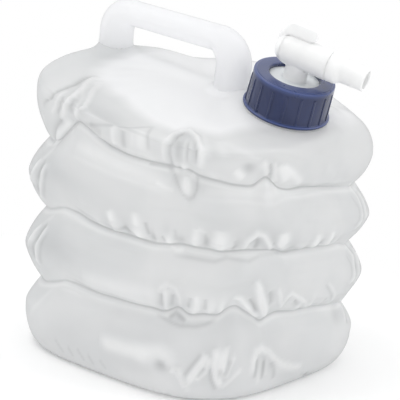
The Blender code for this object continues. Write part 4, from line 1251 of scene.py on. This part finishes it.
def fold_tones(grid, height):
    """Painted highlight, painted shade and valley depth for the painted valley light at each point, from 0 to
    1.
    """
    around = np.broadcast_to(grid.around, grid.climb.shape)
    middle = height
    shifts = ((1, 1), (-1, 1), (1, 0), (-1, 0))
    for _ in range(TONE_SMOOTHING_ROUNDS):
        middle = 0.25 * sum(np.roll(middle, step, axis=axis) for step, axis in shifts)
    # The relief's ridges get painted highlights and its hollows painted shade
    stand = (height - middle) / FULL_TONE_RISE
    light, dark = np.clip(stand, 0.0, 1.0), np.clip(-stand, 0.0, 1.0)
    for path, half_width, rise, kind in FOLDS:
        if kind in ("light", "dark"):
            signed, place = path_distance(around, grid.climb, path)
            tint = rise * fold_height(signed, place, half_width, kind)
            light = light + tint * (kind == "light")
            dark = dark + tint * (kind == "dark")
    valley = np.zeros(grid.climb.shape)
    for level in grid.valleys:
        above = grid.climb - level / MM
        # A dark line at each crease: painted shade, and a little the denser doubled film; fainter round the
        # sides
        line = CREASE_DARKNESS - 0.50 * smooth_step(grid.around, 60.0, 150.0)
        line = line - 0.35 * smooth_step(-grid.around, 110.0, 175.0)
        dark = np.maximum(dark, line * bell(above, CREASE_HALF_WIDTH))
        # Painted light on the shelf just under each crease, which faces up
        light = np.maximum(light, SHELF_LIGHTNESS * bell(above + SHELF_DROP, SHELF_HALF_WIDTH))
        valley = np.maximum(valley, bell(above, VALLEY_GLOW_HALF_WIDTH))
    return np.clip(light, 0.0, 1.0), np.clip(dark, 0.0, 1.0), valley


def soft_waves(grid, form):
    """Slow unevenness of blown film."""
    draw = np.random.default_rng(7)
    around = np.broadcast_to(grid.around, grid.climb.shape)
    waves = np.zeros(grid.climb.shape)
    for _ in range(26):
        turns = draw.integers(3, 26)
        length = draw.uniform(18.0, 90.0)
        phase, lean = draw.uniform(0.0, 2.0 * math.pi, 2)
        strength = draw.uniform(0.3, 1.0) / (1.0 + turns / 14.0)
        winding = 2.0 * math.pi * (turns * around / grid.perimeter + grid.climb / length)
        waves += strength * np.sin(winding + phase) * np.sin(grid.climb / length + lean)
    standing = smooth_step(grid.climb, 2.0, 20.0) * (1.0 - smooth_step(grid.climb, 235.0, 285.0))
    return waves * form.unevenness * standing


def film_tints(grid, height):
    """What the film's material reads at each point, by name."""
    light, dark, valley = fold_tones(grid, height)
    edge = np.interp(grid.around, *zip(*MILK_EDGE), period=grid.perimeter)
    milk = smooth_step(grid.climb - edge, -MILK_SOFTNESS, MILK_SOFTNESS)
    # Lower down, most round the near corner, the film is made milkier: partly thicker film at the base,
    # partly painted light on the lower pleats
    low_milk_and_painted_light = 0.18 + 0.20 * bell(grid.around, 85.0)
    milk = np.maximum(milk, low_milk_and_painted_light * (1.0 - smooth_step(grid.climb, 20.0, 90.0)))
    return {"milk": milk, "dark": dark, "light": light, "shade": patches(grid, SHADES), "valley": valley}


def open_under_neck(points, quads):
    """Leave out the faces under the neck, and draw the hole's rim to the middle of the neck's wall."""
    local = moved(points, NECK.inverted())
    reach = np.hypot(local[:, 0], local[:, 1])
    inside = (reach < NECK_BORE_RADIUS) & (np.abs(local[:, 2]) < NECK_HOLE_DEPTH)
    touched = inside[quads].any(axis=1)
    rim = np.intersect1d(quads[~touched].ravel(), quads[touched].ravel())
    drawn = local[rim]
    middle = 0.5 * (NECK_RADIUS + NECK_BORE_RADIUS)
    drawn[:, :2] *= (middle / np.hypot(drawn[:, 0], drawn[:, 1]))[:, None]
    points[rim] = moved(drawn, NECK)
    return quads[~touched]


def bag_mesh(form):
    """The whole film as one mesh, with a clean round hole under the neck."""
    grid = BagGrid(form)
    height = wrinkle_film(grid)
    tints = film_tints(grid, height)
    rise = height * form.fold_height * MM + soft_waves(grid, form)
    grid.points = grid.points + grid.normals() * rise[..., None]
    grid.seat_fittings()
    rows, columns = grid.climb.shape
    middles = np.stack((grid.points[0].mean(axis=0), grid.points[-1].mean(axis=0)))
    points = np.concatenate((grid.points.reshape(-1, 3), middles))
    number = np.arange(rows * columns).reshape(rows, columns)
    following = np.roll(number, -1, axis=1)
    quads = np.stack((number[:-1], following[:-1], following[1:], number[1:]), axis=-1).reshape(-1, 4)
    faces = open_under_neck(points, quads).tolist()
    last = rows * columns
    for column in range(columns):
        faces.append((last, int(following[0, column]), int(number[0, column])))
        faces.append((int(number[-1, column]), int(following[-1, column]), last + 1))
    mesh = bpy.data.meshes.new("bag")
    mesh.from_pydata(points.tolist(), [], faces)
    for name, values in tints.items():
        paint(mesh, name, np.concatenate((values.ravel(), (values[0].mean(), values[-1].mean()))))
    shape = bmesh.new()
    shape.from_mesh(mesh)
    loose = [point for point in shape.verts if not point.link_faces]
    bmesh.ops.delete(shape, geom=loose, context="VERTS")
    shape.to_mesh(mesh)
    shape.free()
    mesh.shade_smooth()
    return mesh


# The handle

def handle_route():
    """Centre line and radius of the handle, with feet that widen into the top panel."""
    radius = HANDLE_CORNER_RADIUS
    route = []
    legs = ((HANDLE_REAR_X, HANDLE_REAR_HEIGHT, -1.0), (HANDLE_FRONT_X, HANDLE_FRONT_HEIGHT, 1.0))
    for foot, top, side in legs:
        leg = []
        for z in np.linspace(-HANDLE_FOOT_DEPTH, top - radius, 14, endpoint=False):
            widening = max(0.0, 1.0 - (z + HANDLE_FOOT_SINK) / HANDLE_FOOT_HEIGHT) ** 2
            leg.append((foot, z, HANDLE_LEG_RADIUS + HANDLE_FOOT_WIDENING * widening))
        for angle in np.linspace(0.0, math.pi / 2, 22):
            taper = (angle / (math.pi / 2)) ** 2
            x = foot - side * radius * (1.0 - math.cos(angle))
            z = top - radius * (1.0 - math.sin(angle))
            leg.append((x, z, HANDLE_LEG_RADIUS + (HANDLE_GRIP_RADIUS - HANDLE_LEG_RADIUS) * taper))
        route.append(leg)
    start, end = route[0][-1], route[1][-1]
    shares = np.linspace(0.0, 1.0, 30)[1:-1]
    grip = [tuple(a + (b - a) * share for a, b in zip(start, end)) for share in shares]
    return route[0] + grip + list(reversed(route[1]))


def handle_mesh(material):
    curve = bpy.data.curves.new("handle_route", "CURVE")
    curve.dimensions = "3D"
    spline = curve.splines.new("POLY")
    route = handle_route()
    spline.points.add(len(route) - 1)
    for point, (x, z, radius) in zip(spline.points, route):
        point.co = (x, 0.0, z, 1.0)
        point.radius = radius
    mesh = sweep_tree(material).apply(loose_object(curve), "carry_handle_film")
    mesh.transform(DECK)
    mesh.shade_smooth()
    return mesh


# Neck, ring and washer

def neck_mesh(material):
    """Tube with a rolled rim, a flared collar and a screw thread."""
    profile = [
        (NECK_BORE_RADIUS, NECK_FOOT, 0), (NECK_BORE_RADIUS, NECK_RIM, 0.8), (NECK_RADIUS, NECK_RIM, 1.0),
        (NECK_RADIUS, RING_SEAT + 0.0006, 1.5), (RING_SKIRT_RADIUS, RING_SEAT - SEAM_GAP, 1.0),
        (NECK_FOOT_RADIUS, NECK_FOOT, 0),
    ]
    wall = turned(fillet(profile, radius=0.0010), steps=96)
    thread = thread_tree("neck_thread", material, NECK_RADIUS, NECK_THREAD_TURNS, NECK_THREAD_FOOT)
    mesh = thread.apply(loose_object(wall), "neck_film")
    mesh.transform(NECK)
    mesh.shade_smooth()
    mesh.set_sharp_from_angle(angle=math.radians(40.0))
    return mesh


def mark(mesh, name, share):
    """Give the mesh a named value from 0 to 1 at each point, from the point's radius and height."""
    places = np.empty(len(mesh.vertices) * 3, np.float32)
    mesh.vertices.foreach_get("co", places)
    x, y, z = places.reshape(-1, 3).T
    paint(mesh, name, np.clip(share(np.hypot(x, y), z), 0.0, 1.0))


def ring_painted_highlights(radius, height):
    """Painted highlights on the ring: its rounded top edge, its lip and, a little, its top."""
    rim = bell(height - RING_TOP + 0.0009, 0.0007)
    lip = bell(height - RING_SEAT - 0.0020, 0.0006)
    outside = radius > RING_SKIRT_RADIUS - 0.0035
    return np.maximum(0.9 * (rim + lip) * outside, 0.45 * (height > RING_TOP - 0.0008))


def flange_painted_shade(radius, height):
    """Painted shade on the tap's flange, low in the ring's hole."""
    return 1.0 - smooth_step(height, FLANGE_TOP, FLANGE_TOP + 0.0022)


def ring_mesh(material, form):
    """Screw ring: rounded top edge with a fine step, ribbed skirt, bottom lip and inner thread."""
    top_radius = RING_SKIRT_RADIUS - RING_TOP_INSET
    profile = [
        (RING_HOLE_RADIUS, RING_TOP - RING_PLATE, 0.5), (RING_HOLE_RADIUS, RING_TOP, 1.0),
        (top_radius - 0.0021, RING_TOP, 0.3), (top_radius - 0.0018, RING_TOP - RING_STEP_DEPTH, 0.3),
        (top_radius, RING_TOP - RING_STEP_DEPTH, 1.5), (top_radius, RING_TOP - RING_EDGE_DEPTH, 0),
        (RING_SKIRT_RADIUS - RIB_SINK, RING_SEAT + 0.0026, 0.6),
        (RING_BEAD_RADIUS, RING_SEAT + 0.0022, 1.0), (RING_BEAD_RADIUS, RING_SEAT + 0.0002, 1.0),
        (RING_BORE_RADIUS + 0.0006, RING_SEAT, 0.6), (RING_BORE_RADIUS, RING_SEAT + 0.0010, 0.5),
        (RING_BORE_RADIUS, RING_TOP - RING_PLATE, 0.5),
    ]
    profile.append(profile[0])
    wall = turned(fillet(profile, radius=0.0011)[:-1], steps=144)
    ribbed = ribs_tree(material, form).apply(loose_object(wall), "ribbed_ring")
    thread = thread_tree("ring_thread", material, RING_BORE_RADIUS, RING_THREAD_TURNS, RING_THREAD_FOOT)
    mesh = thread.apply(loose_object(ribbed), "screw_ring")
    mark(mesh, "edge", ring_painted_highlights)
    mesh.transform(NECK)
    mesh.shade_smooth()
    mesh.set_sharp_from_angle(angle=math.radians(60.0))
    return mesh


def washer_mesh():
    profile = [
        (WASHER_INNER_RADIUS, WASHER_BOTTOM, 1), (WASHER_INNER_RADIUS, WASHER_TOP, 1),
        (NECK_RADIUS, WASHER_TOP, 1), (NECK_RADIUS, WASHER_BOTTOM, 1),
        (WASHER_INNER_RADIUS, WASHER_BOTTOM, 1),
    ]
    mesh = turned(fillet(profile, radius=0.0005)[:-1], steps=96)
    mesh.transform(NECK)
    return mesh


# The tap

def barrel_radius(place):
    """Radius of the barrel's rounded rear end at a place along its axis."""
    share = max(0.0, (place - BARREL_TAPER) / (BARREL_END - BARREL_TAPER))
    return BARREL_RADIUS * (1.0 - min(share, 1.0) ** 2.1) ** (1.0 / 2.1)


def cylinder(radius, low, high, steps=64, matrix=None):
    return turned([(0.0, low), (radius, low), (radius, high), (0.0, high)], steps, matrix)


def tap_body_mesh(form):
    """Flange, stem and barrel in one moulding, bored for the core and for the water."""
    profile = [
        (0.0, FLANGE_BOTTOM, 0), (FLANGE_RADIUS, FLANGE_BOTTOM, 0.5), (FLANGE_RADIUS, FLANGE_TOP, 0.8),
        (STEM_FOOT_RADIUS, FLANGE_TOP, 1.0), (STEM_RADIUS, FLANGE_TOP + 0.0020, 1.5),
        (STEM_RADIUS, BARREL_HEIGHT, 0), (0.0, BARREL_HEIGHT, 0),
    ]
    stem = turned(fillet(profile, radius=0.0012), steps=72)
    rear = [(barrel_radius(place), place) for place in np.linspace(BARREL_TAPER, BARREL_REAR, 6)]
    barrel_profile = [(0.0, -BARREL_FRONT), (BARREL_RADIUS, -BARREL_FRONT)] + rear + [(0.0, BARREL_REAR)]
    barrel = turned(barrel_profile, steps=72, matrix=TO_TAP)
    bore_ends = -BARREL_FRONT - CUT_OVERRUN, BARREL_REAR + CUT_OVERRUN
    bore = cylinder(CORE_RADIUS + SEAM_GAP, *bore_ends, matrix=TO_TAP)
    channel = cylinder(STEM_BORE_RADIUS, FLANGE_BOTTOM - CUT_OVERRUN, BARREL_HEIGHT)
    mesh = combined("tap_body_plastic", stem, (barrel,), (bore, channel), form.tap_voxel)
    mark(mesh, "flange", flange_painted_shade)
    mesh.transform(TAP)
    return mesh


def lever_solid():
    """The lever's plate: a thick rounded tab that stands up from the core's closed end."""
    shape = bmesh.new()
    half = LEVER_HALF_THICKNESS
    corners = [shape.verts.new((radius, -half, place)) for radius, place in LEVER_OUTLINE]
    face = shape.faces.new(corners)
    raised = bmesh.ops.extrude_face_region(shape, geom=[face])
    lifted = [item for item in raised["geom"] if isinstance(item, bmesh.types.BMVert)]
    bmesh.ops.translate(shape, verts=lifted, vec=(0.0, 2 * half, 0.0))
    bmesh.ops.recalc_face_normals(shape, faces=shape.faces)
    return mesh_of(shape, "lever", TO_TAP)


def tap_core_mesh(form):
    """Domed end, shaft, collar and spout in one turning, with the lever on its closed end."""
    rear = BARREL_REAR - SEAM_LAP
    front = -BARREL_FRONT + SEAM_LAP
    places = rear + (BARREL_END - rear) * np.sin(np.linspace(math.pi / 2, 0.0, 16))
    dome = [(barrel_radius(place), place) for place in places]
    dome[0] = (0.0, BARREL_END)
    body = [
        (CORE_RADIUS, rear, 0), (CORE_RADIUS, front, 0), (SPOUT_COLLAR_RADIUS, front, 0.5),
        (SPOUT_COLLAR_RADIUS - 0.0002, front - SPOUT_COLLAR_LENGTH, 1.4),
        (SPOUT_RADIUS, front - SPOUT_START, 1.6), (SPOUT_RADIUS - 0.0002, front - SPOUT_LENGTH, 0.7),
        (CORE_BORE_RADIUS + 0.0004, front - SPOUT_LENGTH, 0.4), (CORE_BORE_RADIUS, CORE_BORE_END, 0),
        (0.0, CORE_BORE_END, 0),
    ]
    turning = turned(dome + fillet(body, radius=0.0010), steps=72, matrix=TO_TAP)
    across = Matrix.Rotation(-math.pi / 2, 4, "X")
    window = cylinder(CORE_BORE_RADIUS, 0.0, BARREL_RADIUS, steps=48, matrix=TO_TAP @ across)
    mesh = combined("tap_core_plastic", turning, (lever_solid(),), (window,), form.tap_voxel)
    mesh.transform(TAP)
    return mesh


# Settings

def colour_setting(name, description, default):
    return FloatVectorProperty(
        name=name, description=description, default=default, subtype="COLOR", min=0, max=1,
    )


def share_setting(name, description, default):
    return FloatProperty(
        name=name, description=description, default=default, subtype="FACTOR", min=0, max=1,
    )


def length_setting(name, description, default):
    return FloatProperty(name=name, description=description, default=default, precision=5, unit="LENGTH")


class CarrierBagSettings(PropertyGroup):
    """Sizes and colours of the film bag and its handle."""

    columns: IntProperty(name="Columns", description="Points round the bag", default=420, min=96)
    pleat_rows: IntProperty(name="Rows per pleat", description="Points up each pleat", default=44, min=12)
    pleat_depth: length_setting("Pleat depth", "How far a valley lies inside the crests", PLEAT_DEPTH)
    unevenness: length_setting("Unevenness", "Slow waves in the blown film", 0.00016)
    foot_fillet: length_setting("Foot fillet", "Radius between the handle's feet and the top", 0.0075)
    fold_height: FloatProperty(
        name="Fold height", description="Height of the folds beside the tables", default=1.4, min=0,
    )
    thin_colour: colour_setting("Thin film", "Colour of the thin film", (0.825, 0.827, 0.829))
    cool_colour: colour_setting("Cool film", "Colour of the film's cooler patches", (0.776, 0.783, 0.788))
    milk_colour: colour_setting("Thick film", "Colour of the thick milky film", (0.975, 0.977, 0.985))
    # Painted highlights on ridges, streaks and shelves
    painted_highlight_colour: colour_setting("Ridges", "Colour where a fold whitens the film", (0.98, 0.98, 0.98))
    # Painted shade in the creases, and the film's darker colour seen edge on
    crease_shade_and_edge_colour: colour_setting("Creases", "Colour in creases and seen edge on", (0.44, 0.445, 0.45))
    # Painted shade: the film's colour under the shade patches
    shade_colour: colour_setting("Shaded film", "Colour where the far side shades it", (0.60, 0.61, 0.62))
    edge_darkness: share_setting("Edge darkness", "How much darker the film is seen edge on", 0.85)
    glow: share_setting("Glow", "Share of light that soaks through the film", 0.45)
    # Painted light: strength of the valleys' glow
    painted_valley_light: share_setting("Soaked light", "Light that the water side lends the valleys", 0.10)
    # Painted shade: how much darker the handle's and the neck's film is made than the thick film
    handle_shade_tone: share_setting("Handle tone", "Brightness of the handle beside the top", 0.975)
    clearness: share_setting("Clearness", "Share of light that passes straight through thin film", 0.15)


class CarrierFittingSettings(PropertyGroup):
    """Sizes and colours of the ring, the washer and the tap."""

    rib_count: IntProperty(name="Ribs", description="Ribs round the ring", default=18, min=3)
    rib_width: length_setting("Rib half width", "Half width of a rib", 0.0010)
    ring_colour: colour_setting("Ring", "Colour of the screw ring", (0.0072, 0.0165, 0.072))
    # Painted highlights on the ring
    ring_highlight_colour: colour_setting("Ring edges", "Colour of the ring's paler edges", (0.045, 0.075, 0.23))
    tap_colour: colour_setting("Tap", "Colour of the tap", (0.86, 0.865, 0.865))
    # Painted shade on the tap's flange
    flange_shade_colour: colour_setting("Tap flange", "Colour of the tap's thin flange", (0.71, 0.735, 0.745))
    washer_colour: colour_setting("Washer", "Colour of the washer", (0.56, 0.57, 0.56))
    tap_depth: share_setting("Tap depth", "How far light soaks into the white plastic", 0.45)
    tap_voxel: length_setting("Tap fineness", "Size of the steps that the tap is rebuilt in", 0.0005)


class CarrierStageSettings(PropertyGroup):
    """Lens, lamps and floor."""

    lens: FloatProperty(
        name="Lens", description="Focal length in millimetres on a 36 mm sensor", default=139.95,
    )
    key_power: FloatProperty(name="Key lamp", description="Power of the large lamp in watts", default=4.6)
    side_power: FloatProperty(name="Side lamp", description="Power of the other lamp in watts", default=3.6)
    sky: FloatProperty(name="Sky", description="Brightness of the room's even light", default=1.0)
    floor_colour: colour_setting("Floor", "Colour of the floor", (0.93, 0.93, 0.93))


# Operators

class CARRIER_OT_stage(Operator):
    """Make the floor, the lamps and the camera"""

    bl_idname = "carrier.make_stage"
    bl_label = "Stage"

    def execute(self, context):
        form = context.scene.carrier_stage
        make_floor(form)
        make_world(form)
        make_lamps(form)
        make_camera(context.scene, form)
        context.scene.view_settings.view_transform = "Standard"
        return {"FINISHED"}


def camera_share(graph):
    """1 for rays that show the backdrop itself, straight or in gloss and glass."""
    outputs = graph.node("ShaderNodeLightPath").outputs
    names = ("Is Camera Ray", "Is Glossy Ray", "Is Transmission Ray")
    seen = sum((Amount(graph, outputs[name]) for name in names[1:]), Amount(graph, outputs[names[0]]))
    return seen.math("MINIMUM", seen, 1.0)


def make_floor(form):
    """Pale paper under the bag that runs out into white."""
    shape = bmesh.new()
    bmesh.ops.create_grid(shape, x_segments=2, y_segments=2, size=FLOOR_HALF_WIDTH)
    place = Matrix.Translation((0.0, 0.0, CAD_BOX[0].z - FLOOR_GAP))
    floor = loose_object(mesh_of(shape, "floor", place))
    graph = Graph("floor")
    length = graph.node("ShaderNodeVectorMath", {"operation": "LENGTH"}, {0: graph.place}).outputs["Value"]
    far = Amount(graph, length).ramp(0.15, 0.34)
    paper = graph.step(
        "ShaderNodeBsdfPrincipled", base_color=opaque(form.floor_colour), roughness=0.8,
        specular_ior_level=0.1,
    )
    bright = graph.step("ShaderNodeEmission", color=opaque(WHITE))
    floor.data.materials.append(graph.finish(graph.blend(far * camera_share(graph), paper, bright)))


def make_world(form):
    """Even light from all round, and full white where the camera sees it."""
    world = bpy.data.worlds.new("studio")
    bpy.context.scene.world = world
    world.use_nodes = True
    world.node_tree.nodes.clear()
    sky = Nodes(world.node_tree)
    path = sky.node("ShaderNodeLightPath").outputs
    seen = sky.math("MAXIMUM", path["Is Camera Ray"], path["Is Transmission Ray"])
    strength = sky.step("ShaderNodeMapRange", value=seen, to_min=form.sky, to_max=1.0)
    background = sky.step("ShaderNodeBackground", color=opaque(WHITE), strength=strength)
    sky.node("ShaderNodeOutputWorld", None, {"Surface": background})


def make_lamps(form):
    """Square lamps that look at the middle of the bag."""
    for (name, place, width), power in zip(LAMPS, (form.key_power, form.side_power)):
        data = bpy.data.lights.new(name, "AREA")
        data.shape = "RECTANGLE"
        data.size = data.size_y = width
        data.energy = power
        lamp = loose_object(data)
        lamp.location = place
        lamp.rotation_euler = (LAMP_TARGET - Vector(place)).to_track_quat("-Z", "Y").to_euler()


def make_camera(scene, form):
    """Camera at the height and angle that the bag is looked at from."""
    data = bpy.data.cameras.new("view")
    data.sensor_width = 36.0
    data.lens = form.lens
    data.clip_start, data.clip_end = 0.01, 100.0
    camera = loose_object(data)
    matrix = Matrix(CAMERA_AXES).transposed().to_4x4()
    matrix.translation = CAMERA_PLACE
    camera.matrix_world = matrix
    scene.camera = camera


class CARRIER_OT_bag(Operator):
    """Make the film bag as one pleated sheet"""

    bl_idname = "carrier.make_bag"
    bl_label = "Bag"

    def execute(self, context):
        form = context.scene.carrier_bag
        material = film_material("frosted_film", form, folded=True)
        nodes = ("base_pan", "bellows", "top_panel")
        bag = add_piece("bag", bag_mesh(form), material, None, "film", *nodes)
        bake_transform(bag)
        return {"FINISHED"}


class CARRIER_OT_handle(Operator):
    """Make the carrying handle, a closed tube where the real one is hollow"""

    bl_idname = "carrier.make_handle"
    bl_label = "Handle"

    def execute(self, context):
        material = film_material("thick_film", context.scene.carrier_bag)
        add_piece("handle", handle_mesh(material), material, "carrier_top", "film", "carry_handle")
        return {"FINISHED"}


class CARRIER_OT_neck(Operator):
    """Make the threaded neck"""

    bl_idname = "carrier.make_neck"
    bl_label = "Neck"

    def execute(self, context):
        material = bpy.data.materials["thick_film"]
        add_piece("threaded_neck", neck_mesh(material), material, "carrier_top", "film", "neck")
        return {"FINISHED"}


class CARRIER_OT_ring(Operator):
    """Make the ribbed screw ring"""

    bl_idname = "carrier.make_ring"
    bl_label = "Screw Ring"

    def execute(self, context):
        form = context.scene.carrier_fittings
        material = navy_material(form)
        add_piece("screw_ring", ring_mesh(material, form), material, "ring", "navy_plastic", "cap_ring")
        return {"FINISHED"}


class CARRIER_OT_washer(Operator):
    """Make the sealing washer"""

    bl_idname = "carrier.make_washer"
    bl_label = "Washer"

    def execute(self, context):
        form = context.scene.carrier_fittings
        material = white_material("washer_rubber", form, form.washer_colour, 0.55)
        add_piece("washer_disc", washer_mesh(), material, "washer", "washer", "sealing_washer")
        return {"FINISHED"}


class CARRIER_OT_tap(Operator):
    """Make the tap's body and its turning core"""

    bl_idname = "carrier.make_tap"
    bl_label = "Tap"

    def execute(self, context):
        form = context.scene.carrier_fittings
        material = white_material("white_plastic", form, form.tap_colour, 0.26)
        add_piece("tap_moulding", tap_body_mesh(form), material, "tap", "white_plastic", "tap_body")
        add_piece("tap_lever_and_spout", tap_core_mesh(form), material, "core", "white_plastic", "tap_core")
        return {"FINISHED"}


class CARRIER_PT_panel(Panel):
    """Sizes, colours and steps of the water carrier"""

    bl_label = "Water Carrier"
    bl_idname = "CARRIER_PT_panel"
    bl_space_type = "VIEW_3D"
    bl_region_type = "UI"
    bl_category = "Water Carrier"

    def draw(self, context):
        layout = self.layout
        for group, name in SETTINGS:
            box = layout.box()
            for prop in group.__annotations__:
                box.prop(getattr(context.scene, name), prop)
        for step in STEPS:
            layout.operator(step.bl_idname)


SETTINGS = (
    (CarrierBagSettings, "carrier_bag"),
    (CarrierFittingSettings, "carrier_fittings"),
    (CarrierStageSettings, "carrier_stage"),
)
STEPS = (
    CARRIER_OT_stage, CARRIER_OT_bag, CARRIER_OT_handle, CARRIER_OT_neck, CARRIER_OT_ring,
    CARRIER_OT_washer, CARRIER_OT_tap,
)


def register():
    for group, name in SETTINGS:
        bpy.utils.register_class(group)
        setattr(bpy.types.Scene, name, PointerProperty(type=group))
    for item in STEPS + (CARRIER_PT_panel,):
        bpy.utils.register_class(item)


def unregister():
    for item in reversed(STEPS + (CARRIER_PT_panel,)):
        bpy.utils.unregister_class(item)
    for group, name in reversed(SETTINGS):
        delattr(bpy.types.Scene, name)
        bpy.utils.unregister_class(group)


def main():
    register()
    for step in STEPS:
        family, action = step.bl_idname.split(".")
        getattr(getattr(bpy.ops, family), action)()


if __name__ == "__main__":
    main()
